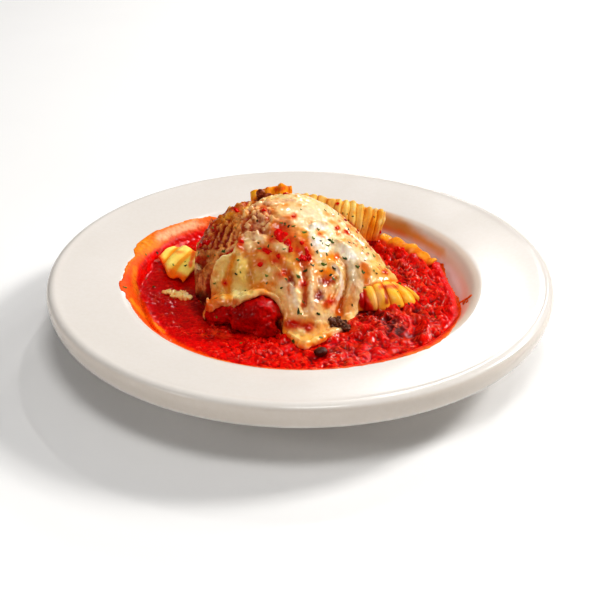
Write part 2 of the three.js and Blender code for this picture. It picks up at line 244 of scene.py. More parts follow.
# ---------------------------------------------------------------- surfaces from fields
class Field:
    """A block of samples of a function of space. It is below 0 inside the food."""

    def __init__(self, low, high, cell):
        self.low = np.array(low, float)
        self.cell = cell
        self.n = np.ceil((np.array(high, float) - self.low) / cell).astype(int) + 1
        self.x, self.y, self.z = (
            self.low[a] + cell * np.arange(self.n[a]) for a in range(3)
        )
        self.gx, self.gy = np.meshgrid(self.x, self.y, indexing="ij")

    def plan(self):
        return self.gx, self.gy

    def surface(self, f, relax=1):
        """Vertices and quads of f = 0, one vertex in each crossed cell."""
        s = f < 0
        corner = [
            s[i : s.shape[0] - 1 + i, j : s.shape[1] - 1 + j, k : s.shape[2] - 1 + k]
            for i in (0, 1)
            for j in (0, 1)
            for k in (0, 1)
        ]
        some = corner[0].copy()
        every = corner[0].copy()
        for c in corner[1:]:
            some |= c
            every &= c
        cell = some & ~every
        index = np.full(cell.shape, -1, np.int64)
        at = np.argwhere(cell)
        index[cell] = np.arange(len(at))
        total = np.zeros((len(at), 3))
        count = np.zeros(len(at))
        ends = []
        for i in (0, 1):
            for j in (0, 1):
                ends += [((0, i, j), (1, i, j)), ((i, 0, j), (i, 1, j)), ((i, j, 0), (i, j, 1))]
        for a, b in ends:
            fa = f[at[:, 0] + a[0], at[:, 1] + a[1], at[:, 2] + a[2]]
            fb = f[at[:, 0] + b[0], at[:, 1] + b[1], at[:, 2] + b[2]]
            m = (fa < 0) != (fb < 0)
            t = np.zeros(len(at))
            t[m] = fa[m] / (fa[m] - fb[m])
            total[m] += np.array(a) + t[m, None] * (np.array(b) - np.array(a))
            count[m] += 1
        v = self.low + self.cell * (at + total / count[:, None])
        quads = []
        for axis in range(3):
            o1, o2 = (axis + 1) % 3, (axis + 2) % 3
            lo = [slice(1, -1)] * 3
            hi = [slice(1, -1)] * 3
            lo[axis], hi[axis] = slice(0, -1), slice(1, None)
            a, b = s[tuple(lo)], s[tuple(hi)]
            cross = np.argwhere(a != b)
            out = a[tuple(cross.T)]
            base = cross.copy()
            base[:, o1] += 1
            base[:, o2] += 1
            around = []
            for d1, d2 in ((-1, -1), (0, -1), (0, 0), (-1, 0)):
                c = base.copy()
                c[:, o1] += d1
                c[:, o2] += d2
                around.append(index[c[:, 0], c[:, 1], c[:, 2]])
            q = np.stack(around, 1)
            q[~out] = q[~out][:, ::-1]
            quads.append(q)
        q = np.vstack(quads)
        for _ in range(relax):
            v = relaxed(v, q, 0.5)
        return v, q


def relaxed(v, q, amount):
    a = q.ravel()
    b = np.roll(q, -1, 1).ravel()
    total = np.zeros_like(v)
    for axis in range(3):
        total[:, axis] = np.bincount(a, v[b, axis], len(v)) + np.bincount(
            b, v[a, axis], len(v)
        )
    count = np.bincount(a, minlength=len(v)) + np.bincount(b, minlength=len(v))
    return mix(v, total / np.maximum(count, 1)[:, None], amount)


def normals(v, q):
    n = np.zeros_like(v)
    if q.shape[1] == 4:
        fn = np.cross(v[q[:, 2]] - v[q[:, 0]], v[q[:, 3]] - v[q[:, 1]])
    else:
        fn = np.cross(v[q[:, 1]] - v[q[:, 0]], v[q[:, 2]] - v[q[:, 0]])
    for c in range(q.shape[1]):
        for axis in range(3):
            n[:, axis] += np.bincount(q[:, c], fn[:, axis], len(v))
    return n / np.maximum(np.linalg.norm(n, axis=1), 1e-12)[:, None]


def hollow(v, q, n, rounds=6):
    """How far each place lies in a hollow (above 0) or on a crest (below 0), mm."""
    w = v
    for _ in range(rounds):
        w = relaxed(w, q, 0.6)
    return ((w - v) * n).sum(1)


def biggest(v, q):
    """The largest joined part of a mesh, so that no crumb of it floats inside."""
    label = np.arange(len(v))
    while True:
        low = label[q].min(1)
        new = label.copy()
        np.minimum.at(new, q.ravel(), np.repeat(low, q.shape[1]))
        new = new[new]
        if (new == label).all():
            break
        label = new
    names, counts = np.unique(label[q[:, 0]], return_counts=True)
    keep = label[q[:, 0]] == names[counts.argmax()]
    q = q[keep]
    used = np.unique(q)
    where = np.full(len(v), -1)
    where[used] = np.arange(len(used))
    return v[used], where[q]


# ---------------------------------------------------------------- colours
def linear(c):
    c = np.array(c, float) / 255
    return np.where(c <= 0.04045, c / 12.92, ((c + 0.055) / 1.055) ** 2.4)


class Paint:
    """Colour for each vertex: a base, then spots and streaks at places of the view, on the
    side that faces it, with edges made uneven by noise."""

    def __init__(self, v, n, base, wobble=1.5, size=3.0, seed=1):
        self.v, self.n = v, n
        self.rgb = np.tile(linear(base), (len(v), 1))
        px = project(v)
        w = np.stack(
            [
                noise(v, size, seed) + 0.5 * noise(v, size / 2.3, seed + 5),
                noise(v, size, seed + 1) + 0.5 * noise(v, size / 2.3, seed + 6),
            ],
            -1,
        )
        self.px = px + wobble * w
        to_eye = EYE - v
        to_eye /= np.linalg.norm(to_eye, axis=1)[:, None]
        self.seen = smooth(-0.12, 0.12, (n * to_eye).sum(1))
        self.only = 1.0

    def put(self, k, colour, amount=1.0):
        k = np.clip(k * amount * self.only, 0, 1)[:, None]
        self.rgb = self.rgb * (1 - k) + linear(colour) * k

    def spot(self, x, y, rx, ry, colour, amount=1.0, turn=0.0, soft=0.72):
        dx, dy = self.px[:, 0] - x, self.px[:, 1] - y
        c, s = np.cos(turn), np.sin(turn)
        d = np.hypot((dx * c + dy * s) / rx, (-dx * s + dy * c) / ry)
        self.put((1 - smooth(1 - soft, 1 + soft, d)) * self.seen, colour, amount)

    def streak(self, pts, width, colour, amount=1.0, soft=0.7):
        widths = width if isinstance(width, (list, tuple)) else [width] * len(pts)
        d, w = to_line(self.px, pts, widths)
        self.put((1 - smooth(1 - soft, 1 + soft, d / w)) * self.seen, colour, amount)


# ---------------------------------------------------------------- meshes
def mesh(name, v, faces, material, rgb=None, extra=None, shade=True, deepen=1.32):
    me = bpy.data.meshes.new(name)
    blocks = faces if isinstance(faces, list) else [faces]
    v = np.asarray(v, float) / 1000.0
    me.vertices.add(len(v))
    me.vertices.foreach_set("co", v.astype(np.float32).ravel())
    loops = np.concatenate([b.ravel() for b in blocks]).astype(np.int32)
    sizes = np.concatenate([np.full(len(b), b.shape[1]) for b in blocks]).astype(np.int32)
    starts = np.concatenate([[0], np.cumsum(sizes)[:-1]]).astype(np.int32)
    me.loops.add(len(loops))
    me.loops.foreach_set("vertex_index", loops)
    me.polygons.add(len(sizes))
    me.polygons.foreach_set("loop_start", starts)
    me.update(calc_edges=True)
    me.validate(clean_customdata=False)
    if rgb is not None:
        layer = me.color_attributes.new(name="tint", type="FLOAT_COLOR", domain="POINT")
        rgba = np.ones((len(v), 4), np.float32)
        rgba[:, :3] = np.clip(rgb, 0, 1) ** deepen
        layer.data.foreach_set("color", rgba.ravel())
    for key, values in (extra or {}).items():
        layer = me.attributes.new(key, "FLOAT", "POINT")
        layer.data.foreach_set("value", np.asarray(values, np.float32))
    me.polygons.foreach_set("use_smooth", [shade] * len(me.polygons))
    me.materials.append(material)
    ob = bpy.data.objects.new(name, me)
    bpy.context.scene.collection.objects.link(ob)
    return ob


def finish_piece(ob, slot, *nodes):
    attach(ob, "root")
    if nodes:
        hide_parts(*nodes)
    return ob


def tree_of(v, q):
    return BVHTree.FromPolygons(
        [tuple(p) for p in v.tolist()], [tuple(f) for f in q.tolist()], all_triangles=False
    )


# ---------------------------------------------------------------- materials
def new_material(name):
    m = bpy.data.materials.new(name)
    m.use_nodes = True
    nt = m.node_tree
    nt.nodes.clear()
    out = nt.nodes.new("ShaderNodeOutputMaterial")
    bsdf = nt.nodes.new("ShaderNodeBsdfPrincipled")
    nt.links.new(bsdf.outputs[0], out.inputs["Surface"])
    return m, nt, bsdf


def node(nt, kind, **values):
    n = nt.nodes.new(kind)
    for key, value in values.items():
        if key in n.inputs:
            n.inputs[key].default_value = value
        else:
            setattr(n, key, value)
    return n


def object_coords(nt, scale=1.0, stretch=None):
    tc = nt.nodes.new("ShaderNodeTexCoord")
    mp = nt.nodes.new("ShaderNodeMapping")
    mp.inputs["Scale"].default_value = stretch or (scale, scale, scale)
    nt.links.new(tc.outputs["Object"], mp.inputs["Vector"])
    return mp.outputs[0]


def noise_node(nt, vec, scale, detail=3.0, rough=0.55, distortion=0.0):
    n = nt.nodes.new("ShaderNodeTexNoise")
    n.inputs["Scale"].default_value = scale
    n.inputs["Detail"].default_value = detail
    n.inputs["Roughness"].default_value = rough
    n.inputs["Distortion"].default_value = distortion
    nt.links.new(vec, n.inputs["Vector"])
    return n


def ramp(nt, fac, stops, interp="LINEAR"):
    r = nt.nodes.new("ShaderNodeValToRGB")
    r.color_ramp.interpolation = interp
    els = r.color_ramp.elements
    while len(els) > 1:
        els.remove(els[-1])
    for i, (pos, col) in enumerate(stops):
        e = els[0] if i == 0 else els.new(pos)
        e.position = pos
        e.color = (*col, 1) if len(col) == 3 else col
    nt.links.new(fac, r.inputs["Fac"])
    return r.outputs["Color"]


def mapped(nt, fac, lo, hi, a, b):
    n = nt.nodes.new("ShaderNodeMapRange")
    n.inputs["From Min"].default_value = lo
    n.inputs["From Max"].default_value = hi
    n.inputs["To Min"].default_value = a
    n.inputs["To Max"].default_value = b
    nt.links.new(fac, n.inputs["Value"])
    return n.outputs[0]


def mix_colour(nt, fac, a, b, mode="MIX"):
    n = nt.nodes.new("ShaderNodeMix")
    n.data_type = "RGBA"
    n.blend_type = mode
    for socket, value in ((n.inputs["Factor"], fac), (n.inputs[6], a), (n.inputs[7], b)):
        if hasattr(value, "links"):
            nt.links.new(value, socket)
        elif isinstance(value, (int, float)):
            socket.default_value = value
        else:
            socket.default_value = (*value, 1)
    return n.outputs[2]


def bump(nt, height, strength, distance, after=None):
    n = nt.nodes.new("ShaderNodeBump")
    n.inputs["Strength"].default_value = strength
    n.inputs["Distance"].default_value = distance
    nt.links.new(height, n.inputs["Height"])
    if after is not None:
        nt.links.new(after, n.inputs["Normal"])
    return n.outputs[0]


def tint(nt):
    n = nt.nodes.new("ShaderNodeAttribute")
    n.attribute_name = "tint"
    return n.outputs["Color"]


def food_material(
    name,
    rough=(0.25, 0.4),
    specular=0.5,
    coat=0.0,
    coat_rough=0.1,
    subsurface=0.0,
    radius=(1.0, 0.4, 0.2),
    depth=0.002,
    mottle=0.12,
    mottle_size=900,
    fine=0.25,
    fine_size=1400,
    fine_depth=0.0003,
    fine_detail=3.0,
    pores=None,
    dull=0.0,
):
    """Moist food: the painted tint, mottled, with uneven gloss and a fine bump."""
    m, nt, bsdf = new_material(name)
    vec = object_coords(nt)
    n1 = noise_node(nt, vec, mottle_size, 4.0, 0.6)
    n2 = noise_node(nt, vec, mottle_size * 0.22, 3.0, 0.55)
    dark = ramp(nt, n1.outputs["Fac"], [(0.3, (1 - mottle,) * 3), (0.7, (1 + mottle * 0.5,) * 3)])
    col = mix_colour(nt, 1.0, tint(nt), dark, "MULTIPLY")
    nt.links.new(col, bsdf.inputs["Base Color"])
    gloss = mapped(nt, n2.outputs["Fac"], 0.3, 0.7, rough[0], rough[1])
    if dull:
        worn = nt.nodes.new("ShaderNodeAttribute")
        worn.attribute_name = "dull"
        more = nt.nodes.new("ShaderNodeMath")
        more.operation = "MULTIPLY_ADD"
        nt.links.new(worn.outputs["Fac"], more.inputs[0])
        more.inputs[1].default_value = dull
        nt.links.new(gloss, more.inputs[2])
        gloss = more.outputs[0]
    nt.links.new(gloss, bsdf.inputs["Roughness"])
    fine_noise = noise_node(nt, vec, fine_size, fine_detail, 0.5)
    normal = bump(nt, fine_noise.outputs["Fac"], fine, fine_depth)
    if pores:
        size, strength, deep = pores
        vo = nt.nodes.new("ShaderNodeTexVoronoi")
        vo.inputs["Scale"].default_value = size
        nt.links.new(vec, vo.inputs["Vector"])
        normal = bump(nt, vo.outputs["Distance"], strength, deep, normal)
    nt.links.new(normal, bsdf.inputs["Normal"])
    bsdf.inputs["Specular IOR Level"].default_value = specular
    bsdf.inputs["Coat Weight"].default_value = coat
    bsdf.inputs["Coat Roughness"].default_value = coat_rough
    bsdf.inputs["Subsurface Weight"].default_value = subsurface
    bsdf.inputs["Subsurface Radius"].default_value = radius
    bsdf.inputs["Subsurface Scale"].default_value = depth
    return m


M_CHEESE = food_material(
    "melted_cheese_look", rough=(0.1, 0.18), specular=0.4, coat=0.0,
    subsurface=0.2, radius=(1.0, 0.55, 0.2), depth=0.0025, mottle=0.1, mottle_size=700,
    fine=0.4, fine_size=360, fine_depth=0.0009, fine_detail=0.6,
)
M_SAUCE = food_material(
    "tomato_sauce_look", rough=(0.06, 0.1), specular=0.18, coat=0.0,
    subsurface=0.08, radius=(1.0, 0.12, 0.05), depth=0.002, mottle=0.3, mottle_size=420,
    fine=0.4, fine_size=380, fine_depth=0.0011, fine_detail=0.3, dull=0.42,
)
M_FILLING = food_material(
    "filling_look", rough=(0.12, 0.24), specular=0.16, coat=0.0,
    subsurface=0.12, radius=(1.0, 0.4, 0.2), depth=0.002, mottle=0.3, mottle_size=900,
    fine=0.6, fine_size=560, fine_depth=0.001, fine_detail=1.0,
)
M_PASTA = food_material(
    "pasta_look", rough=(0.24, 0.38), specular=0.18, coat=0.0,
    subsurface=0.18, radius=(1.0, 0.55, 0.15), depth=0.002, mottle=0.08, mottle_size=650,
    fine=0.22, fine_size=1100, fine_depth=0.0004,
)
M_MEAT = food_material(
    "sauced_meat_look", rough=(0.06, 0.1), specular=0.2,
    subsurface=0.1, radius=(1.0, 0.15, 0.08), depth=0.002, mottle=0.35, mottle_size=420,
    fine=0.5, fine_size=400, fine_depth=0.0012, fine_detail=0.4,
)
M_BROWN = food_material(
    "browned_look", rough=(0.3, 0.5), specular=0.25, coat=0.0,
    subsurface=0.05, mottle=0.4, mottle_size=1000, fine=0.5, fine_size=1200,
    fine_depth=0.0006,
)
M_TOMATO = food_material(
    "tomato_look", rough=(0.07, 0.13), specular=0.25, coat=0.0,
    subsurface=0.2, radius=(1.0, 0.2, 0.1), depth=0.002, mottle=0.25, mottle_size=800,
    fine=0.45, fine_size=520, fine_depth=0.0008, fine_detail=0.5,
)
M_HERB = food_material(
    "herb_look", rough=(0.4, 0.6), specular=0.3, mottle=0.35, mottle_size=1500, fine=0.4,
    fine_size=2500, fine_depth=0.0002,
)


def glaze_material():
    m, nt, bsdf = new_material("glazed_plate_look")
    vec = object_coords(nt)
    broad = noise_node(nt, vec, 22, 3.0, 0.5)
    speck = noise_node(nt, vec, 420, 2.0, 0.5)
    tone = ramp(nt, broad.outputs["Fac"], [(0.3, (0.97, 0.965, 0.955)), (0.7, (1.0, 1.0, 1.0))])
    tone2 = ramp(nt, speck.outputs["Fac"], [(0.35, (0.985, 0.98, 0.97)), (0.65, (1, 1, 1))])
    col = mix_colour(nt, 1.0, tint(nt), tone, "MULTIPLY")
    col = mix_colour(nt, 1.0, col, tone2, "MULTIPLY")
    nt.links.new(col, bsdf.inputs["Base Color"])
    nt.links.new(
        mapped(nt, broad.outputs["Fac"], 0.3, 0.7, 0.16, 0.24), bsdf.inputs["Roughness"]
    )
    wave = noise_node(nt, vec, 60, 2.0, 0.5)
    nt.links.new(bump(nt, wave.outputs["Fac"], 0.08, 0.0006), bsdf.inputs["Normal"])
    bsdf.inputs["Specular IOR Level"].default_value = 0.3
    bsdf.inputs["Coat Weight"].default_value = 0.12
    bsdf.inputs["Coat Roughness"].default_value = 0.06
    return m


M_PLATE = glaze_material()

# ---------------------------------------------------------------- the plate
PLATE = [
    (0, 11), (72, 11.2), (83, 13.2), (91, 17.6), (97, 24.4), (102, 31.8), (105, 34.8),
    (108, 36.2), (114, 37.3), (143, 41.3), (148.3, 42), (151.2, 40.4), (152, 36.5),
    (149.2, 27.8), (146, 28.2), (141, 33.4), (113, 29.6), (103, 21.4), (92, 10.6),
    (76, 5.2), (73, 0), (68.8, 0), (67, 5), (0, 5),
]


def plate_line():
    """The profile as a smooth line through its stations, straight where it is flat."""
    p = np.array(PLATE, float)
    out = [p[0]]
    for i in range(len(p) - 1):
        a, b = p[i], p[i + 1]
        before = p[i - 1] if i else 2 * a - b
        after = p[i + 2] if i + 2 < len(p) else 2 * b - a
        flat = i in (0, 19, 20, 21, 22)
        n = 10 if i in (0, 22) else 3 if flat else 8
        d0, d1, d2 = (
            max(1e-6, np.linalg.norm(q) ** 0.5) for q in (a - before, b - a, after - b)
        )
        m1 = (a - before) / d0 - (b - before) / (d0 + d1) + (b - a) / d1
        m2 = (b - a) / d1 - (after - a) / (d1 + d2) + (after - b) / d2
        for s in np.linspace(0, 1, n + 1)[1:]:
            if flat:
                out.append(mix(a, b, s))
                continue
            s2, s3 = s * s, s * s * s
            out.append(
                (2 * s3 - 3 * s2 + 1) * a
                + (s3 - 2 * s2 + s) * d1 * m1
                + (-2 * s3 + 3 * s2) * b
                + (s3 - s2) * d1 * m2
            )
    return np.array(out)


LINE = plate_line()
_top = LINE[: int(np.argmax(LINE[:, 1])) + 1]


def wall(r):
    """Height of the glazed top at radius r."""
    return np.interp(r, _top[:, 0], _top[:, 1])


def land(x, y, height, high=100.0):
    """Where the sight line through a pixel meets a height function."""
    d = sight(x, y)
    t = np.linspace((high - EYE[2]) / d[2], (9 - EYE[2]) / d[2], 2600)
    p = EYE + t[:, None] * d
    below = p[:, 2] < height(p[:, 0], p[:, 1])
    return p[int(np.argmax(below))] if below.any() else p[-1]


def plate_top(x, y):
    return wall(np.hypot(x, y))


def make_plate():
    around = 256
    line = LINE.copy()
    line[:, 0] = np.maximum(line[:, 0], 0)
    inner = line[1:-1]
    a = np.arange(around) * 2 * np.pi / around
    v = np.stack(
        [
            inner[:, 0][:, None] * np.cos(a),
            inner[:, 0][:, None] * np.sin(a),
            np.repeat(inner[:, 1][:, None], around, 1),
        ],
        -1,
    ).reshape(-1, 3)
    i = np.arange(len(inner) - 1)[:, None] * around
    j = np.arange(around)[None]
    k = (j + 1) % around
    quads = np.stack([i + j, i + around + j, i + around + k, i + k], -1).reshape(-1, 4)
    v = np.vstack([v, [0, 0, line[0, 1]], [0, 0, line[-1, 1]]])
    n = len(v)
    last = (len(inner) - 1) * around
    tri_top = np.stack([np.full(around, n - 2), j[0], k[0]], -1)
    tri_low = np.stack([np.full(around, n - 1), last + k[0], last + j[0]], -1)
    nn = normals(v, quads)
    paint = Paint(v, nn, (229, 224, 219), wobble=2.0, size=9, seed=40)
    on_wall = smooth(98, 101, np.hypot(v[:, 0], v[:, 1])) * smooth(
        110.5, 107.5, np.hypot(v[:, 0], v[:, 1])
    )
    paint.only = on_wall * (nn[:, 2] > 0)
    # painted shade: the wall of the well on the right and at the back is painted a darker beige
    paint.put((v[:, 0] > 10) * smooth(-0.9, -0.5, np.arctan2(v[:, 1], v[:, 0])), (222, 204, 188), 0.8)
    paint.streak([(380, 224), (398, 232), (412, 240), (423, 247), (437, 254)], [13, 12, 11, 9, 7],
                 (220, 142, 26), 0.9, 0.5)
    paint.streak([(384, 231), (398, 238), (412, 246), (424, 252), (436, 257)], [6, 6, 6, 5, 4],
                 (230, 116, 0), 0.95, 0.6)
    # painted shade: a darker beige band down the right wall of the well
    paint.streak([(436, 258), (446, 272), (455, 287), (461, 300)], [9, 8, 8, 6],
                 (214, 182, 158), 0.6, 0.7)
    paint.streak([(447, 275), (455, 289), (461, 300)], 2.4, (240, 150, 60), 0.6, 0.8)
    # painted shade with painted red light reflected from the sauce, pinkish, on the front-right wall
    paint.streak([(462, 306), (466, 318), (456, 333)], 6, (238, 214, 194), 0.6, 0.6)
    paint.only = 1.0
    for x, y, rx, ry, turn in ((145, 319.5, 3.2, 1.5, 0.7), (157, 327, 1.8, 1.2, 0.4), (158.5, 331, 1.4, 1.0, 0.2),
                               (169, 336, 2.2, 1.0, 0.5), (151, 322, 1.2, 0.8, 0.3), (228, 356.5, 1.6, 0.8, 0.1),
                               (165, 333.5, 1.4, 0.8, 0.4)):
        paint.spot(x, y, rx, ry, (244, 160, 60), 0.95, turn, 0.5)
    # painted shade: the rim's outer band is painted darker than the glaze
    paint.only = smooth(149.5, 151.2, np.hypot(v[:, 0], v[:, 1])) * smooth(41.5, 39.5, v[:, 2])
    paint.put(1.0, (226, 216, 206), 0.9)
    ob = mesh("plate_body", v, [quads, tri_top, tri_low], M_PLATE, paint.rgb, deepen=1.0)
    finish_piece(ob, "plate", "plate")
    return v, quads


make_plate()

# ---------------------------------------------------------------- the mound's form
SAUCE_Z, TOP_Z, PEAK_X, LEFT_RUN, RIGHT_RUN = 27.0, 75.0, -8.0, 63.0, 72.0


def ridge_z(x):
    left = x < PEAK_X
    t = np.clip(np.where(left, (PEAK_X - x) / LEFT_RUN, (x - PEAK_X) / RIGHT_RUN), 0, 1)
    k = np.where(left, (1 - t**2.6) ** 0.625, (1 - t**2.2) ** 1.6)
    return SAUCE_Z + (TOP_Z - SAUCE_Z) * k


def ridge_y(x):
    return 25 - 23 * ((x + 5) / 65) ** 2


front_foot = through(
    [(-70, -6), (-58, -18), (-46, -27), (-30, -35), (-16, -45), (-4, -59), (10, -59),
     (20, -46), (32, -33), (48, -22), (64, -15)]
)


def back_foot(x):
    return 4 + 58 * np.sqrt(np.clip(1 - ((x + 4) / 70) ** 2, 0, None))


def core_z(x, y, detail=True):
    x, y = np.asarray(x, float), np.asarray(y, float)
    yr, zr = ridge_y(x), ridge_z(x)
    yf, yb = front_foot(x), np.maximum(back_foot(x), ridge_y(x) + 8)
    t = np.where(y < yr, (y - yf) / (yr - yf), (yb - y) / (yb - yr))
    k = np.where(t >= 0, np.sin(np.pi / 2 * np.clip(t, 0, 1) ** 0.86), 2.2 * t)
    z = SAUCE_Z - 1 + (zr - SAUCE_Z + 1) * k
    z = z + 4.5 * swell(x, y, -42, -20, 20, 18, 0.3) + 3 * swell(x, y, 44, -8, 18, 14, -0.5)
    z = z - 4 * swell(x, y, -50, 2, 9, 16, -0.7) + 3 * swell(x, y, -48, 18, 20, 18)
    return z + 1.1 * lumps(x, y, 7.5, 1.1) * np.clip(k * 2, 0, 1)


core_reach = through(
    [(-np.pi, 66), (-2.6, 63), (-2.1, 54), (-1.57, 62), (-1, 56), (-0.5, 60), (0, 66),
     (0.6, 62), (1.2, 62), (1.9, 62), (2.5, 64), (np.pi, 66)]
)
core_trim = through([(-np.pi, 4.0), (-2.7, 3.0), (-2.2, 0.5), (-1.5, 0), (1.9, 0), (2.6, 2.5), (np.pi, 4.0)])
BALLS = [
    ((-25, -44.5, 33.5), (14.5, 12.5, 13.0), 0.25),
    ((-43, -35, 29.5), (13, 9, 9.5), 0.5),
]


def ball_top(x, y, ball, less=0.0):
    (cx, cy, cz), (a, b, c), turn = ball
    co, si = np.cos(turn), np.sin(turn)
    u = ((x - cx) * co + (y - cy) * si) / (a - less)
    v = (-(x - cx) * si + (y - cy) * co) / (b - less)
    q = 1 - u * u - v * v
    return np.where(q > 0, cz + (c - less) * np.sqrt(np.clip(q, 0, None)), -50.0)


def bed_z(x, y):
    """What the cheese lies on."""
    z = smax(core_z(x, y), SAUCE_Z + 0.4, 3)
    for ball in BALLS:
        z = smax(z, ball_top(x, y, ball) + 0.2, 3.0)
    return z


def on_bed(points, lift=2.0):
    return np.array([land(x, y, lambda a, b: bed_z(a, b) + lift) for x, y in points])


# ---------------------------------------------------------------- the cheese
CHEESE_FRONT = [
    (222, 260), (213, 272), (210, 287), (211, 297), (205, 306), (202, 314), (211, 311),
    (221, 303), (229, 304), (236, 304), (243, 300), (250, 296), (257, 293), (264, 292),
    (272, 294), (278, 302), (283, 310), (284, 321), (282, 329), (286, 334), (294, 340),
    (299, 345), (307, 347), (314, 344), (325, 338), (339, 331), (348, 325), (353, 320),
    (358, 309), (362, 300), (366, 294), (371, 289), (377, 287), (385, 285), (391, 283),
    (397, 284),
]
CHEESE_LEFT = [(247, 209), (241, 217), (239, 226), (238, 236), (237, 245), (231, 254)]
CHEESE_BACK = [
    (62, 3), (58, 9), (52, 13), (43, 20), (32, 28), (17, 36.5), (2, 41), (-12, 41),
]
# Folds: places in the view, then how wide (mm) and how high (mm) at each.
RIDGES = [
    ([(338, 246), (349, 254), (355, 266), (355, 280), (352, 294), (348, 308), (346, 318)],
     [5.0, 6.2, 6.8, 6.0, 5.0, 4.2, 3.6], [1.2, 2.4, 3.0, 2.8, 2.4, 2.2, 1.6]),
    ([(324, 264), (334, 267), (340, 275), (341, 287), (338, 297), (333, 308)],
     [1.8, 1.8, 1.7, 1.7, 1.7, 1.8], [0.8, 1.3, 1.5, 1.4, 1.2, 1.0]),
    ([(311, 268), (312, 282), (311, 298), (312, 316)], [2.8, 3.0, 3.4, 3.8], [0.8, 1.3, 1.5, 1.0]),
    ([(287, 284), (295, 294), (299, 306), (300, 319)], [2.6, 2.8, 2.8, 2.6], [1.0, 1.5, 1.4, 0.9]),
    ([(272, 268), (279, 276), (285, 287), (290, 300), (290, 314)],
     [2.0, 2.2, 2.2, 2.2, 2.0], [0.9, 1.3, 1.2, 1.0, 0.6]),
    ([(323, 288), (326, 297), (327, 310)], [1.8, 2.0, 2.2], [0.6, 0.8, 0.7]),
    ([(224, 261), (217, 272), (214, 285), (215, 297)], [2.4, 2.6, 2.6, 2.4], [0.9, 1.4, 1.4, 1.0]),
    ([(244, 258), (241, 270), (238, 283), (238, 294)], [4.2, 5.0, 6.0, 5.5], [0.8, 1.6, 2.4, 2.2]),
    ([(268, 262), (262, 272), (256, 280)], [4.0, 4.5, 4.0], [0.5, 0.8, 0.6]),
    ([(240, 240), (247, 236), (255, 236), (262, 239)], [2.6, 3.0, 2.6, 2.2], [1.0, 1.8, 1.6, 0.8]),
    ([(246, 246), (254, 246), (262, 242)], [2.2, 2.2, 2.0], [0.9, 1.0, 0.7]),
    ([(266, 243), (276, 246), (285, 251)], [2.6, 3.0, 2.6], [0.8, 1.0, 0.6]),
    ([(312, 228), (318, 225), (326, 225)], [2.2, 2.6, 2.0], [1.0, 1.4, 0.8]),
    ([(313, 240), (317, 244), (322, 247)], [2.6, 2.8, 2.2], [0.9, 1.2, 0.6]),
    ([(328, 244), (338, 248), (348, 255)], [2.4, 3.0, 3.0], [0.6, 0.9, 0.6]),
    ([(250, 208), (262, 204), (276, 202), (292, 200), (303, 202)], [1.3] * 5, [0.7, 0.9, 0.9, 0.8, 0.3]),
    ([(262, 210), (270, 206), (282, 205)], [1.1] * 3, [0.5, 0.7, 0.4]),
    ([(330, 214), (342, 224), (353, 236), (364, 247), (375, 257), (386, 267), (396, 277)],
     [1.5] * 7, [0.6, 0.8, 0.9, 0.9, 0.9, 1.0, 1.0]),
    ([(365, 268), (374, 272), (384, 276), (394, 279)], [3.4, 3.6, 3.6, 3.2], [0.8, 1.2, 1.4, 1.2]),
    ([(285, 334), (297, 340), (308, 343), (322, 337), (336, 331)], [2.0] * 5, [0.8, 1.0, 1.0, 0.9, 0.8]),
    ([(276, 222), (284, 224), (292, 222)], [1.6] * 3, [0.6, 0.7, 0.4]),
    ([(296, 236), (304, 247), (309, 262)], [2.0, 2.0, 1.8], [0.4, 0.6, 0.5]),
]
VALLEYS = [
    ([(338, 258), (345, 268), (347, 280), (345, 292), (341, 300), (338, 310)],
     [1.3, 1.5, 1.6, 1.6, 2.2, 2.4], [0.8, 1.2, 1.5, 1.7, 2.2, 1.6]),
    ([(302, 262), (304, 275), (305, 290), (305, 304), (304, 314)], [1.6] * 5, [1.0, 1.7, 2.0, 1.6, 0.8]),
    ([(284, 266), (289, 276), (294, 287)], [1.5] * 3, [0.9, 1.5, 1.2]),
    ([(233, 257), (229, 267), (227, 280), (226, 292), (228, 301)], [1.8, 2.0, 2.0, 2.0, 1.8],
     [0.9, 1.5, 1.8, 1.8, 1.0]),
    ([(250, 262), (252, 274), (250, 285), (247, 292)], [2.0] * 4, [0.5, 0.9, 1.1, 0.8]),
    ([(262, 284), (270, 284), (278, 289)], [2.0] * 3, [0.7, 0.9, 0.6]),
    ([(322, 275), (327, 280), (329, 284)], [3.0, 3.4, 2.8], [1.2, 1.8, 1.2]),
    ([(318, 291), (319, 301)], [2.0, 2.0], [1.5, 1.4]),
    ([(286, 323), (296, 325), (308, 326), (320, 323)], [2.6, 3.0, 2.8, 2.4], [0.9, 1.3, 1.2, 0.6]),
    ([(251, 239), (254, 243)], [1.3, 1.3], [1.0, 0.9]),
    ([(318, 232), (322, 237)], [1.8, 1.8], [0.8, 0.7]),
    ([(360, 268), (363, 282), (364, 293)], [1.6, 1.8, 1.6], [0.8, 1.1, 0.8]),
    ([(254, 228), (263, 232), (272, 236)], [1.6] * 3, [0.9, 1.2, 0.9]),
    ([(266, 214), (274, 218), (280, 216)], [1.4] * 3, [0.6, 0.8, 0.5]),
    ([(256, 218), (262, 222)], [1.5, 1.5], [1.0, 1.0]),
]


def stroke_field(points3, strokes, lift=2.0):
    """Height of rounded strokes laid on the bed, at each 3-D bed point."""
    total = np.zeros(len(points3))
    for px, wide, high in strokes:
        line = on_bed(px, lift)
        lo = line.min(0) - max(wide) * 2.4
        hi = line.max(0) + max(wide) * 2.4
        near = np.all((points3 > lo) & (points3 < hi), axis=1)
        if not near.any():
            continue
        p = points3[near]
        d, w = to_line(p, line, wide)
        _, h = to_line(p, line, high)
        total[near] += h * np.exp(-((d / (0.75 * w)) ** 2) * 1.1)
    return total


def cheese_outline():
    front = on_bed(CHEESE_FRONT)[:, :2]
    left = on_bed(CHEESE_LEFT, 1.0)[:, :2]
    return rounded(np.vstack([front, CHEESE_BACK, left]), 1)


CHEESE_EDGE = cheese_outline()


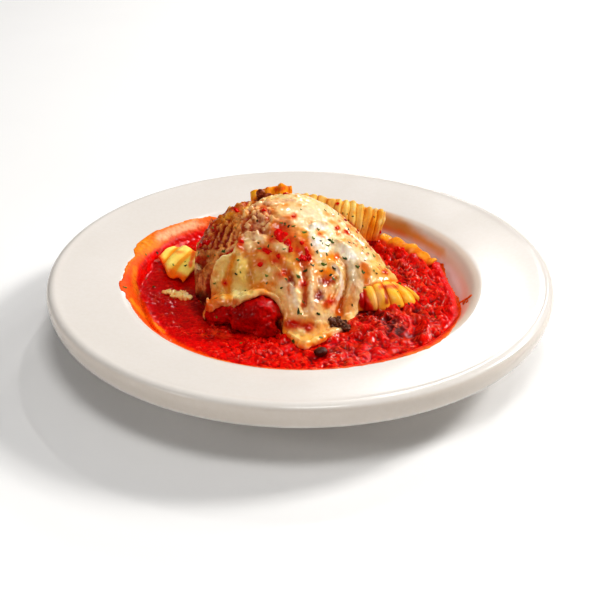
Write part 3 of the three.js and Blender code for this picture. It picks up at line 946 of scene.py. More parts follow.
def make_cheese():
    cell = 0.68
    g = Field((-66, -82, 24), (70, 50, 86), cell)
    x, y = g.plan()
    bed = bed_z(x, y)
    bx, by = np.gradient(bed, g.cell)
    slope = np.sqrt(1 + np.minimum(bx**2 + by**2, 9.0))
    flat3 = np.stack([x.ravel(), y.ravel(), bed.ravel() + 2.0], -1)
    warp = 1.0 * noise(flat3, 6.0, 3) + 0.6 * noise(flat3, 2.6, 4)
    m = inside_distance(x, y, CHEESE_EDGE) + warp.reshape(x.shape)
    bent = flat3 + 0.9 * np.stack([noise(flat3, 4.5, 21 + i) for i in range(3)], -1)
    bent = bent + 0.35 * np.stack([noise(flat3, 1.9, 25 + i) for i in range(3)], -1)
    ex, ey = np.gradient(m, g.cell)
    along = np.abs(ex * bx + ey * by) / np.maximum(np.hypot(ex, ey), 0.3)
    m = m * np.sqrt(1 + np.minimum(along, 3.0) ** 2)
    t = np.full(x.shape, 1.9)
    t += 1.25 * stroke_field(bent, RIDGES).reshape(x.shape)
    t -= 1.05 * stroke_field(bent, VALLEYS).reshape(x.shape)
    run = project(flat3)
    run = np.stack([run[:, 0], 0.32 * run[:, 1], 0 * run[:, 0]], -1)
    flow = noise(run, 7.5, 14) + 0.5 * noise(run, 3.8, 16)
    t += (0.55 * flow * smooth(50, 62, 300 - 0 * flow) * 1.0).reshape(x.shape) * smooth(20, -8, y)
    t += 0.35 * np.exp(-(((m + 2.2) / 1.7) ** 2))  # the lip that melted cheese gathers at
    t += 0.45 * noise(flat3, 7.0, 9).reshape(x.shape)
    t += 0.95 * (np.abs(noise(flat3, 5.0, 12)) + 0.5 * np.abs(noise(flat3, 2.6, 13)) - 0.35).reshape(
        x.shape
    ) * smooth(25, -5, y)
    px = project(flat3)
    lumpy = (
        (1 - smooth(20, 30, np.hypot((px[:, 0] - 250) / 1.0, (px[:, 1] - 216) / 0.8)))
    ).reshape(x.shape)
    f1, f2, own = grains(bent, 4.6, 5)
    knobs = (1.5 * np.clip(0.75 - f1, 0, 1) * (0.6 + own)).reshape(x.shape)
    t += lumpy * (knobs * 3.2 - 1.1)
    back = smooth(8, 20, y - ridge_y(x))
    t += back * (knobs * 1.0 - 0.3)
    t = np.clip(t, 0.5, 8.0)
    r = np.minimum(t, 3.4) / 2 + 0.35
    z = g.z[None, None, :]
    d = (z - bed[:, :, None]) / slope[:, :, None]
    mid = (t / 2)[:, :, None]
    half = (t / 2 + 0.7)[:, :, None]  # reaches 0.7 mm into its bed
    r3 = r[:, :, None]
    qa = np.maximum(m[:, :, None] + r3, 0)
    qb = np.maximum(np.abs(d - mid + 0.35) - (half - r3), 0)
    f = np.sqrt(qa * qa + qb * qb) - r3
    v, q = g.surface(f.astype(np.float32), relax=2)
    v, q = biggest(v, q)
    n = normals(v, q)
    up = smooth(-0.1, 0.2, n[:, 2])
    px = project(v)
    lumpy = 1 - smooth(22, 30, np.hypot(px[:, 0] - 250, (px[:, 1] - 216) / 0.8))
    rough = 0.20 + 0.30 * lumpy + 0.18 * smooth(0, 10, v[:, 1] - ridge_y(v[:, 0]))
    edge = smooth(-7, -1, inside_distance(v[:, 0], v[:, 1], CHEESE_EDGE))
    rough = rough + 0.12 * edge
    v = v + n * (up * rough * (fbm(v, 3.4, 3, 31) + 0.25 * noise(v, 1.5, 37)))[:, None]
    n = normals(v, q)
    return v, q, n


# Red juice round the bits of tomato: x, y in the view, half sizes in the view, turn.
HALOS = [
    (266.5, 251.5, 8, 4.5, 0.5), (260.5, 264.5, 5.5, 4.5, 1.2), (278.5, 257, 6, 3.5, 0.9),
    (282, 231, 9, 8, 0.5), (290, 243, 6.5, 8, 0.8), (302, 244, 4, 5, 0.9), (307, 252, 8, 4, 1.1),
    (304, 259, 7, 5, 0.4), (298, 250, 5, 3, 1.0), (284, 272, 4, 6, 1.2), (304, 284, 3.5, 4, 1.4),
    (337, 228, 2.4, 1.8, 0.2), (294, 216, 2.6, 2.0, 0.2), (264, 210, 4, 3, 0.2),
    (385, 272, 3, 2.2, 0.3), (347, 232, 1.8, 1.0, 0.6), (241, 242, 5, 4.5, 0.7),
    (225, 283, 3, 2.6, 0.2), (276, 262, 6, 3, 0.7), (272, 240, 4, 3, 0.4),
]


def paint_cheese(v, n, q):
    p = Paint(v, n, (252, 231, 178), wobble=1.5, size=3.2, seed=60)
    # everywhere: soft orange and brown patches, as oil and sauce bleed through
    a = smooth(0.12, 0.55, fbm(v, 13, 3, 61))
    p.put(a, (244, 200, 112), 0.6)
    p.put(smooth(0.2, 0.45, fbm(v, 6, 3, 67)), (238, 156, 40), 0.75)
    p.put(smooth(0.3, 0.5, fbm(v, 3.6, 2, 68)), (226, 120, 30), 0.6)
    p.put(smooth(0.3, 0.5, fbm(v, 4.4, 2, 69)), (255, 246, 220), 0.7)
    hidden = smooth(2, 14, v[:, 1] - ridge_y(v[:, 0]))
    p.put(smooth(0.05, 0.5, fbm(v, 9, 3, 71)) * hidden, (228, 140, 62), 0.8)
    p.put(smooth(0.32, 0.5, fbm(v, 6, 2, 75)) * hidden, (190, 40, 12), 0.85)
    s, l = p.spot, p.streak
    run = project(v)
    run = np.stack([run[:, 0], 0.32 * run[:, 1], 0 * run[:, 0]], -1)
    p.put(smooth(0.05, 0.5, -noise(run, 7.5, 14) - 0.5 * noise(run, 3.8, 16)), (238, 166, 62), 0.6)
    # broad areas
    s(306, 218, 27, 17, (255, 234, 200), 0.95)
    s(282, 209, 15, 8, (253, 205, 140), 0.7)
    s(335, 243, 22, 14, (255, 228, 190), 0.85)
    s(362, 262, 18, 10, (252, 214, 150), 0.8, 0.7)
    s(238, 280, 22, 26, (234, 204, 124), 0.9)
    s(270, 262, 18, 14, (236, 184, 92), 0.75)
    s(291, 258, 9, 16, (236, 170, 66), 0.7)
    s(262, 286, 15, 6, (234, 148, 34), 0.85)
    s(300, 300, 26, 24, (252, 214, 156), 0.8)
    s(310, 334, 28, 11, (251, 196, 108), 0.8)
    # the right stream and its crease
    l([(341, 249), (351, 258), (356, 270), (354, 284), (351, 296)], [7, 9, 9, 8, 6],
      (232, 218, 190), 0.95)
    s(346, 250, 7, 5, (252, 244, 226), 0.8, 0.5)
    # painted half-shade: greyer bands down the middle and the right flank of the stream
    l([(352, 272), (354, 284), (352, 296)], 4, (206, 188, 156), 0.8)
    l([(358, 262), (361, 280), (359, 296)], 4, (226, 196, 146), 0.7)
    l([(349, 300), (346, 312), (345, 320)], [7, 6, 5], (232, 176, 100), 0.85)
    # painted shade: orange-brown in the crease left of the stream
    l([(343, 262), (347, 276), (345, 291)], [2.6, 3, 3], (214, 160, 92), 0.85)
    l([(341, 299), (338, 308), (340, 315)], [4, 5, 4], (218, 116, 6), 0.95)
    s(353, 288, 4, 5, (222, 140, 60), 0.5)
    # painted highlights on the stream
    s(352, 256, 4.5, 4.5, (255, 250, 238), 0.9)
    s(351, 271, 4, 4.5, (240, 226, 202), 0.8)
    s(366, 260, 8, 6, (255, 236, 212), 0.75, 0.6)
    s(346, 263, 3.4, 4, (240, 214, 188), 0.7)
    # the right corner
    s(385, 273, 14, 7, (255, 214, 128), 0.85, 0.5)
    l([(364, 266), (367, 276), (367, 288)], [4, 4, 3], (238, 140, 32), 0.85)
    l([(371, 286), (380, 283), (388, 281), (397, 280)], 2.6, (250, 156, 34), 0.8)
    l([(376, 264), (388, 270), (396, 277)], 3, (255, 226, 160), 0.5)
    # the centre's drips
    l([(274, 270), (282, 281), (289, 292), (292, 304)], [3, 4, 4, 4], (255, 224, 186), 0.9)
    l([(295, 290), (299, 304), (300, 318)], [4, 5, 5], (255, 226, 170), 0.9)
    l([(312, 272), (311, 290), (312, 312)], [5, 6, 7], (246, 204, 156), 0.85)
    l([(303, 262), (304, 276), (305, 292), (304, 306)], [3, 3.4, 3, 2.4], (204, 88, 2), 0.95)
    l([(284, 266), (289, 276), (293, 287)], [3.2, 3.8, 2.8], (160, 26, 0), 1.0)
    l([(289, 287), (291, 293)], 2.4, (226, 130, 30), 0.8)
    l([(333, 266), (340, 274), (341, 288), (336, 300), (332, 311)], [2.6] * 5, (252, 214, 170), 0.9)
    s(325, 272, 9, 4, (246, 156, 36), 0.95)
    s(327, 281, 8, 5, (172, 28, 0), 1.0)
    s(330, 278, 4, 2.4, (226, 110, 14), 0.8)
    s(326, 291, 9, 5, (232, 178, 136), 0.7)
    s(319, 296, 4, 6, (158, 36, 0), 1.0)
    s(330, 301, 6.5, 4, (216, 56, 0), 1.0, -0.5)
    s(327, 306, 4, 3, (232, 120, 30), 0.8)
    s(333, 296, 5, 3, (244, 160, 48), 0.7)
    # the hollow above the foot, darkened as painted shade, its toasted spots, and the foot's edge
    l([(285, 322), (297, 321), (312, 322), (326, 322)], [7, 7, 6, 5], (244, 176, 78), 0.8)
    s(323, 318, 10, 6, (250, 216, 150), 0.8)
    s(289, 311, 5, 8, (250, 214, 150), 0.8)
    s(293, 324, 9, 5, (212, 44, 0), 1.0)
    s(308, 327, 6.5, 4.4, (210, 52, 0), 1.0)
    s(301, 331, 4, 2.4, (252, 226, 176), 0.8)
    s(330, 331, 11, 4.5, (250, 206, 150), 0.8)
    l([(283, 330), (291, 339), (300, 346), (312, 344), (325, 338), (338, 332)], 2.8,
      (250, 160, 44), 0.85)
    s(316, 339, 4, 3, (255, 226, 150), 0.7)
    s(296, 336, 4, 2.4, (255, 232, 170), 0.7)
    s(322, 333, 4, 3, (248, 176, 60), 0.6)
    # the left lobe
    # painted highlights on the lobe's two bulges
    s(238, 292, 9, 8, (248, 232, 172), 0.95)
    s(243, 266, 6, 10, (240, 212, 136), 0.85)
    l([(234, 257), (230, 267), (229, 280), (228, 292), (229, 300)], [3, 3.4, 3.6, 3.6, 3],
      (234, 158, 42), 0.85)
    # a painted highlight along the lobe's left ridge
    l([(224, 262), (218, 272), (215, 286)], [4, 5, 5], (244, 214, 146), 0.95)
    s(219, 292, 5, 5, (240, 200, 120), 0.8)
    s(215, 274, 3, 3, (230, 150, 60), 0.5)
    s(217, 292, 5, 6, (232, 164, 84), 0.7)
    s(225, 283, 3, 2.2, (214, 70, 10), 0.8)
    l([(214, 300), (208, 306), (204, 312)], [6, 7, 6], (230, 128, 24), 0.9)
    l([(216, 302), (226, 303), (236, 302)], 3, (214, 124, 40), 0.7)
    s(252, 253, 13, 5, (196, 116, 34), 0.85)
    s(251, 270, 4, 12, (208, 136, 50), 0.7)
    s(232, 274, 4, 3, (196, 140, 66), 0.5)
    s(274, 278, 8, 5, (248, 200, 146), 0.6)
    s(270, 284, 5, 3, (240, 150, 40), 0.7)
    # the lump at the lobe's top and the cream beside it
    s(242, 240, 5, 6, (240, 130, 28), 0.9)
    s(241, 241, 2.6, 2.4, (212, 46, 8), 0.9)
    s(243, 248, 5, 3, (214, 60, 14), 0.7)
    s(249, 240, 5, 8, (255, 242, 214), 1.0)
    s(258, 237, 6, 4, (255, 232, 204), 0.9)
    s(253.5, 240, 2.2, 4.5, (206, 124, 92), 0.9)
    s(268, 243, 7, 5, (246, 214, 160), 0.8)
    s(280, 247, 10, 6, (252, 218, 166), 0.95)
    # browned cheese and meat, top left
    s(244, 222, 15, 14, (204, 106, 30), 0.9)
    s(246, 212, 10, 4, (238, 178, 88), 0.75, -0.25)
    s(249, 229, 7, 5, (166, 46, 18), 0.8)
    s(261, 231, 9, 4.5, (160, 44, 16), 0.85)
    s(255, 217, 5, 3, (158, 70, 22), 0.8)
    s(262, 214, 7, 3, (248, 208, 172), 0.8)
    s(268, 224, 5.5, 4, (248, 214, 168), 0.85)
    s(257, 224, 4, 4, (226, 170, 130), 0.7)
    s(266, 219, 5.5, 2.6, (176, 50, 12), 0.9)
    s(264, 210, 3, 2.2, (214, 44, 12), 0.9)
    s(273, 212, 4, 3, (224, 136, 56), 0.8)
    s(274, 224, 5, 3, (246, 176, 74), 0.8)
    s(236, 228, 5, 6, (170, 96, 40), 0.7)
    l([(250, 207), (262, 203.5), (276, 201.5), (292, 200)], 1.8, (250, 204, 164), 0.85)
    l([(256, 211), (266, 207), (278, 205)], 1.2, (222, 150, 96), 0.7)
    # stains and painted highlights on the dome
    for x, y, rx, ry, turn in ((352, 229, 5, 2, 0.7), (360, 237, 5, 1.8, 0.7), (368, 246, 5, 2, 0.8), (341, 218, 4, 2, 0.6),
                               (333, 222, 4, 2, 0.3), (377, 258, 4, 2, 0.7), (310, 222, 5, 3, 0.2), (298, 228, 6, 3, 0.5),
                               (327, 214, 4, 2, 0.4), (300, 205, 5, 2, 0.1), (348, 240, 4, 2, 0.4)):
        s(x, y, rx, ry, (240, 176, 92), 0.75, turn, 0.9)
    for x, y, rx, ry, turn in ((350, 227, 1.8, 0.9, 0.7), (362, 239, 2.0, 0.8, 0.8), (371, 250, 1.8, 0.8, 0.8),
                               (343, 220, 1.5, 0.8, 0.6), (356, 245, 1.4, 0.8, 0.5), (381, 262, 1.4, 0.8, 0.6)):
        s(x, y, rx, ry, (226, 120, 52), 0.7, turn, 0.8)
    s(284.5, 206, 4.5, 2.6, (250, 164, 36), 0.95)
    s(289, 218, 6.5, 2.8, (228, 116, 24), 0.85)
    s(294, 216, 2.4, 1.8, (214, 58, 10), 0.9)
    # a painted highlight
    s(283, 219, 4, 1.8, (255, 244, 214), 0.8)
    s(305, 236, 5.5, 5.5, (242, 172, 54), 0.9)
    # painted highlights: white wet spots on the dome
    s(318, 227, 7.5, 3.2, (255, 253, 248), 0.95)
    s(317, 242, 5, 6, (255, 250, 244), 0.95)
    s(311, 236, 2.4, 8, (255, 244, 226), 0.8)
    s(320, 233, 4.5, 3.2, (246, 172, 70), 0.85)
    s(319, 234, 1.8, 1.6, (228, 96, 26), 0.85)
    s(323, 237.5, 2, 1.5, (226, 110, 56), 0.8)
    s(331, 257, 8.5, 5, (251, 166, 30), 0.95, 0.15)
    s(337, 256.5, 2.4, 2.4, (240, 112, 16), 0.85)
    s(338, 234, 2.8, 1.8, (240, 150, 44), 0.85)
    s(343, 240, 4, 2, (246, 194, 100), 0.7)
    s(347, 232, 3.5, 1.8, (222, 96, 40), 0.75, 0.6)
    s(337, 228, 2.6, 2.2, (216, 50, 16), 0.9)
    s(385, 272, 2.2, 1.8, (232, 90, 24), 0.9)
    s(372, 261, 4, 2, (246, 206, 116), 0.7)
    for x, y, rx, ry, turn in HALOS:
        s(x, y, rx * 1.5, ry * 1.6, (240, 158, 62), 0.85, turn, 0.9)
        s(x, y, rx, ry * 1.1, (226, 70, 20), 0.9, turn, 0.9)
    s(281, 247, 8, 4.5, (254, 224, 176), 0.95, 0.25)
    # painted highlights along the drips, the fold beside the stream and the foot's right edge
    l([(291, 284), (294, 294), (297, 306)], 2.2, (255, 240, 212), 0.8)
    l([(311, 286), (313, 298), (312, 310)], 2.4, (250, 226, 190), 0.8)
    l([(335, 266), (341, 276), (342, 288), (338, 299)], 1.8, (255, 244, 226), 0.85)
    l([(334, 334), (341, 330), (346, 326)], 1.8, (255, 238, 206), 0.8)
    s(323, 318, 9, 5, (246, 226, 186), 0.7)
    s(262, 270, 8, 7, (232, 204, 142), 0.6)
    s(301, 316, 9, 4, (244, 218, 170), 0.6)
    # a painted highlight
    s(360, 284, 3, 4, (250, 232, 206), 0.7)
    s(290, 210, 9, 4, (255, 234, 196), 0.6)
    s(325, 247, 6, 8, (255, 244, 226), 0.7)
    s(249, 240, 5.5, 8, (255, 226, 172), 0.9)
    s(258, 236.5, 5, 3, (255, 234, 196), 0.9)
    s(262, 256, 5, 3, (246, 206, 130), 0.7)
    s(289, 262, 4, 7, (248, 200, 124), 0.7, 0.2)
    s(276, 268, 6, 4, (244, 206, 140), 0.7)
    s(316, 258, 4, 3, (252, 222, 170), 0.7)
    # painted shade in the hollows and painted light on the crests; at the top left the hollows are red-brown, with meat
    # showing
    cave = hollow(v, q, n, 7)
    p.put(smooth(0.08, 0.42, cave), (212, 118, 24), 0.75)
    top_left = 1 - smooth(20, 30, np.hypot(p.px[:, 0] - 250, (p.px[:, 1] - 218) / 0.8))
    p.put(smooth(0.0, 0.3, cave) * top_left, (176, 56, 16), 0.85)
    p.put(smooth(0.02, 0.28, -cave) * top_left, (252, 218, 168), 0.8)
    p.put(smooth(0.1, 0.4, -cave) * (1 - top_left), (255, 236, 200), 0.35)
    for x, y in ((352, 236), (357, 241), (347, 226), (362, 248), (343, 232), (368, 254),
                 (379, 268), (351, 244), (339, 221), (333, 215)):
        s(x, y, 1.8, 1.3, (226, 130, 60), 0.7, 0.6)
    s(370, 247, 2.6, 1.6, (214, 60, 30), 0.5, 0.7)
    return p.rgb


# ---------------------------------------------------------------- the filling
CORE_RIDGES = [
    ([(234, 230), (230, 238), (227.5, 246)], [1.5, 1.7, 1.5], [1.2, 1.9, 1.3]),
    ([(230, 226), (225, 237), (221, 249)], [1.4, 1.7, 1.5], [1.1, 1.8, 1.3]),
    ([(223, 225), (218, 236), (212.5, 249)], [1.5, 1.8, 1.6], [1.2, 1.9, 1.3]),
    ([(217, 231), (213, 238), (210, 246)], [1.4, 1.6, 1.4], [1.0, 1.6, 1.1]),
    ([(239, 226), (237, 232), (235.5, 238)], [1.5, 1.6, 1.4], [1.0, 1.6, 1.0]),
    ([(227, 216), (233, 213), (240, 211.5), (247, 210)], [1.4] * 4, [0.8, 1.4, 1.4, 1.0]),
    ([(240, 217), (236, 222), (231, 226)], [1.6] * 3, [1.0, 1.5, 1.0]),
    ([(236, 245), (228, 249), (220, 253), (214, 259)], [1.2] * 4, [1.0, 1.4, 1.4, 0.8]),
    ([(202, 255), (210, 252), (219, 253)], [2.0, 2.2, 2.0], [1.2, 1.6, 1.4]),
    ([(218, 255), (212, 265), (204, 276), (199, 290)], [3.0, 3.6, 4.4, 4.0], [1.4, 2.0, 2.6, 2.0]),
    ([(192, 268), (197, 266), (200, 268)], [2.0, 2.4, 2.0], [1.4, 1.8, 1.2]),
    ([(195, 272), (193, 282), (194, 292)], [2.6, 3.0, 2.6], [1.0, 1.4, 1.0]),
    ([(206, 284), (204, 295), (201, 303)], [2.4, 2.6, 2.4], [0.8, 1.2, 0.8]),
]
CORE_VALLEYS = [
    ([(232, 228), (228, 238), (224.5, 247)], [1.1] * 3, [1.0, 1.7, 1.2]),
    ([(226, 226), (221.5, 237), (217, 248)], [1.1] * 3, [1.0, 1.7, 1.2]),
    ([(219, 229), (215.5, 238), (212, 247)], [1.0] * 3, [0.9, 1.4, 1.0]),
    ([(199, 262), (206, 266), (213, 259)], [1.8, 2.0, 1.6], [1.4, 1.9, 1.2]),
    ([(209, 283), (209, 296), (206, 303)], [1.6] * 3, [1.0, 1.4, 1.4]),
    ([(236, 249), (228, 253), (220, 258)], [1.3] * 3, [0.6, 0.9, 0.6]),
]


def make_core():
    cell = 0.9
    g = Field((-72, -66, 9), (68, 68, 80), cell)
    x, y = g.plan()
    top = core_z(x, y)
    flat3 = np.stack([x.ravel(), y.ravel(), top.ravel() + 1.0], -1)
    m = inside_distance(x, y, CHEESE_EDGE)
    under = smooth(-2.0, -4.5, m)  # 1 where the cheese hides it
    f1, f2, own = grains(flat3, 4.6, 15)
    g1, g2, gown = grains(flat3, 2.7, 16)
    crumbs = (1.9 * np.clip(0.8 - f1, 0, 1) * (0.5 + own) + 0.8 * np.clip(0.7 - g1, 0, 1)).reshape(
        x.shape
    )
    calm = 1 - 0.35 * (1 - smooth(15, 24, np.hypot(project(flat3)[:, 0] - 202, project(flat3)[:, 1] - 278)))
    crumbs = crumbs * calm.reshape(x.shape)
    t = -0.6 + 1.5 * crumbs
    bent = flat3 + 0.8 * np.stack([noise(flat3, 4.0, 121 + i) for i in range(3)], -1)
    t += stroke_field(bent, CORE_RIDGES, 1.0).reshape(x.shape)
    t -= stroke_field(bent, CORE_VALLEYS, 1.0).reshape(x.shape)
    t += 0.8 * noise(flat3, 9, 19).reshape(x.shape)
    t = t * (1 - under) - 0.9 * under
    bx, by = np.gradient(top, g.cell)
    slope = np.sqrt(1 + np.minimum(bx**2 + by**2, 9.0))
    ang = np.arctan2(y, x + 3)
    r = np.hypot(x + 3, y) - core_reach(ang) + core_trim(ang) + 0.8
    z = g.z[None, None, :]
    f = (z - top[:, :, None]) / slope[:, :, None] - t[:, :, None]
    f = smax(f, np.repeat(r[:, :, None], len(g.z), 2), 1.5)
    f = smax(f, 12.2 - z + 0 * f, 1.0)
    v, q = g.surface(f.astype(np.float32), relax=1)
    v, q = biggest(v, q)
    n = normals(v, q)
    v = v + n * (0.25 * fbm(v, 2.4, 2, 41) * smooth(26, 30, v[:, 2]))[:, None]
    n = normals(v, q)
    return v, q, n


def paint_core(v, n, q):
    p = Paint(v, n, (212, 118, 30), wobble=1.6, size=3.0, seed=80)
    p.put(smooth(0.1, 0.45, fbm(v, 5.0, 3, 83)), (240, 180, 96), 0.75)
    p.put(smooth(0.08, 0.4, fbm(v, 4.2, 3, 87)), (190, 40, 8), 0.85)
    q2 = p.px + 0.0
    along = np.stack([(q2[:, 0] * 0.91 + q2[:, 1] * 0.41), 0.3 * (q2[:, 1] * 0.91 - q2[:, 0] * 0.41), 0 * q2[:, 0]], -1)
    strand = noise(along, 3.6, 91) + 0.5 * noise(along, 1.9, 92)
    p.put(smooth(0.12, 0.4, strand) * p.seen, (252, 218, 150), 0.85)
    p.put(smooth(0.12, 0.42, -strand) * p.seen, (176, 24, 4), 0.85)
    # the side that the view doesn't show: layers of meat, sauce and soft cheese
    c1, c2, kind = grains(v * [1.0, 1.0, 1.35] + 1.4 * np.stack([noise(v, 4.0, 94 + i) for i in range(3)], -1), 5.2, 95)
    behind = 1 - p.seen
    p.put(smooth(0.62, 0.7, kind) * smooth(0.62, 0.45, c1) * behind, (248, 206, 136), 0.85)
    p.put(smooth(0.38, 0.3, kind) * smooth(0.75, 0.5, c1) * behind, (142, 62, 26), 0.85)
    p.put(smooth(0.12, 0.06, kind) * behind, (206, 30, 8), 0.8)
    red = smooth(-8, 14, v[:, 0] - 0.2 * v[:, 1]) * smooth(0.3, -0.3, fbm(v, 10, 2, 85) - 0.25)
    p.put(red, (196, 20, 8), 0.85)
    low = smooth(34, 28, v[:, 2])
    p.put(low, (150, 14, 6), 0.8)
    s, l = p.spot, p.streak
    s(226, 232, 14, 18, (206, 104, 30), 0.3)
    l([(234, 230), (230, 238), (227.5, 246)], 2.0, (244, 184, 124), 0.85)
    l([(230, 226), (225, 237), (221, 249)], 2.0, (236, 170, 104), 0.85)
    l([(223, 225), (218, 236), (212.5, 249)], 2.2, (226, 150, 92), 0.85)
    l([(217, 231), (213, 238), (210, 246)], 1.8, (206, 120, 66), 0.8)
    l([(239, 226), (237, 232), (235.5, 238)], 1.8, (240, 176, 110), 0.8)
    l([(232, 228), (228, 238), (224.5, 247)], 1.5, (160, 22, 8), 0.9)
    l([(226, 226), (221.5, 237), (217, 248)], 1.5, (160, 26, 8), 0.9)
    l([(219, 229), (215.5, 238), (212, 247)], 1.4, (160, 20, 6), 0.85)
    l([(227, 216), (233, 213), (240, 211.5), (247, 210)], 2.0, (250, 190, 100), 0.85)
    l([(240, 217), (236, 222), (231, 226)], 2.2, (238, 166, 84), 0.8)
    s(213, 227, 4, 6, (196, 18, 6), 0.8)
    s(205, 240, 6, 8, (190, 20, 8), 0.85)
    l([(236, 246), (228, 249.5), (220, 253), (215, 259)], 1.6, (244, 194, 152), 0.9)
    l([(201, 255), (210, 252.5), (219, 253)], 2.6, (224, 178, 120), 0.85)
    s(209, 257, 8, 3, (196, 110, 34), 0.7)
    l([(237, 249), (230, 253), (222, 258)], 2.2, (206, 22, 6), 0.95)
    s(201, 260, 6, 4, (190, 16, 6), 0.85)
    s(207, 266, 7, 3, (120, 12, 6), 0.8, -0.5)
    s(202, 278, 12, 20, (190, 112, 46), 0.5, 0.3)
    l([(217, 256), (212, 266), (205, 276)], [3.0, 3.6, 3.6], (232, 176, 108), 0.6)
    l([(205, 278), (199, 290), (198, 300)], [5, 5, 4], (178, 100, 40), 0.45)
    s(196, 260, 4, 3, (214, 40, 8), 0.8)
    s(208, 247, 3, 5, (236, 180, 110), 0.7)
    s(203, 250, 4, 3, (160, 12, 4), 0.8)
    s(221, 222, 5, 4, (226, 150, 60), 0.6)
    s(226, 218, 4, 2.4, (252, 200, 80), 0.8)
    s(243, 209, 7, 3, (252, 206, 104), 0.8, -0.2)
    l([(205, 262), (200, 270), (197, 280)], 1.8, (170, 60, 20), 0.7)
    l([(209, 272), (204, 284), (203, 296)], 1.8, (236, 186, 130), 0.6)
    # painted shade under the cheese's edge and painted shadow at the filling's lower left
    s(213, 290, 3, 10, (120, 12, 4), 0.85)
    s(198, 299, 9, 6, (84, 18, 6), 0.8)
    s(193, 272, 6, 9, (150, 78, 26), 0.7)
    s(196, 267, 4, 3, (246, 224, 180), 0.95)
    s(193, 272, 4, 2.4, (226, 200, 150), 0.85)
    s(200, 281, 4, 5, (240, 186, 140), 0.7)
    s(194, 289, 4, 5, (226, 160, 110), 0.7)
    s(191, 280, 5, 6, (186, 120, 66), 0.7)
    # painted shade in the hollows and painted light on the crests
    cave = hollow(v, q, n, 5)
    p.put(smooth(0.04, 0.32, cave), (162, 20, 4), 0.85)
    p.put(smooth(0.06, 0.4, -cave), (250, 196, 124), 0.6)
    # more painted shade under the cheese's edge and at the lower left
    s(208, 288, 3, 8, (172, 14, 6), 0.9)
    s(203, 297, 8, 6, (110, 30, 10), 0.7)
    s(236, 210, 4, 3, (214, 24, 8), 0.8)
    s(230, 214, 4, 3, (248, 186, 70), 0.8)
    s(238, 218, 7, 4, (214, 150, 84), 0.7)
    return p.rgb


# ---------------------------------------------------------------- the sauce
SAUCE_EDGE_PX = [
    (224, 218.5), (210, 216), (200, 218), (190, 219.5), (175, 224), (163, 228.5), (150, 233),
    (143, 237), (137, 243), (134, 250), (135, 256), (129, 261), (126, 267), (123, 274),
    (119.5, 281), (119, 286), (121, 291), (126, 298),
]
NEAR_EDGE = [  # direction in degrees, reach of the film, reach of the red sauce
    (-176, 108.4, 97), (-169, 106.6, 95.5), (-162, 105.2, 94.6), (-150, 104.8, 96.2),
    (-135, 105.2, 99.4), (-120, 106.2, 102.6), (-100, 107.2, 104.4), (-85, 107.9, 105.2),
    (-71, 109.0, 106.4),
    (-65, 109.8, 107), (-61, 110.2, 107.4), (-54, 111, 108), (-50, 111.4, 108.2),
    (-46, 111.2, 108), (-39, 108.6, 105.6), (-28, 102.9, 100.2), (-18, 100.2, 97.6),
    (26, 97, 94.5), (34, 93.5, 92), (44, 91, 90), (55, 91, 90), (66, 94, 93),
]
SAUCE_RIGHT_PX = [
    (444, 263), (446, 275), (449, 284), (453, 290), (458, 297), (460.5, 303),
]
POOL_EDGE_PX = [
    (222, 223), (205, 228), (190, 233), (172, 240), (160, 247), (149, 254), (141, 262),
    (137, 272), (136.5, 284), (139, 296),
]


def ring_function(pairs, default):
    """Radius by direction through measured places, easing to a default elsewhere."""
    pts = sorted((float(np.arctan2(y, x)), float(np.hypot(x, y))) for x, y in pairs)
    a = np.array([q[0] for q in pts])
    r = np.array([q[1] for q in pts])
    a = np.concatenate([a - 2 * np.pi, a, a + 2 * np.pi])
    r = np.concatenate([r, r, r])

    def f(angle):
        base = np.interp(angle, a, r)
        i = np.clip(np.searchsorted(a, angle), 1, len(a) - 1)
        away = np.minimum(np.abs(angle - a[i - 1]), np.abs(a[i] - angle))
        return mix(base, default, smooth(0.12, 0.34, away))

    return f


def _ray(degrees, r):
    return (r * np.cos(np.radians(degrees)), r * np.sin(np.radians(degrees)))


_edge = [land(x, y, plate_top, 60)[:2] for x, y in SAUCE_EDGE_PX + SAUCE_RIGHT_PX]
_pool = [land(x, y, plate_top, 60)[:2] for x, y in POOL_EDGE_PX]
_pool += [0.97 * land(x, y, plate_top, 60)[:2] for x, y in SAUCE_RIGHT_PX]
_edge += [_ray(a, film) for a, film, _ in NEAR_EDGE]
_pool += [_ray(a, red) for a, _, red in NEAR_EDGE]
film_reach = ring_function(_edge, 99.8)
pool_reach = ring_function(_pool, 98.6)


def sauce_level(x, y):
    r = np.hypot(x, y)
    z = SAUCE_Z + 0.5 * lumps(x, y, 4.6, 0.3) * smooth(99, 88, r) * smooth(-80, -20, x)
    z = z + 4.2 * swell(x, y, 44, -48, 26, 18, 0.5) + 3.2 * swell(x, y, 66, 10, 24, 34, -0.2)
    z = z + 3.0 * swell(x, y, 30, 66, 34, 18, -0.3) - 2.6 * swell(x, y, 49, -38, 9, 6, 0.3)
    z = z + 2.6 * swell(x, y, 60, 42, 26, 7, -0.95) + 2.0 * swell(x, y, 74, 26, 12, 6, -1.0)
    return z


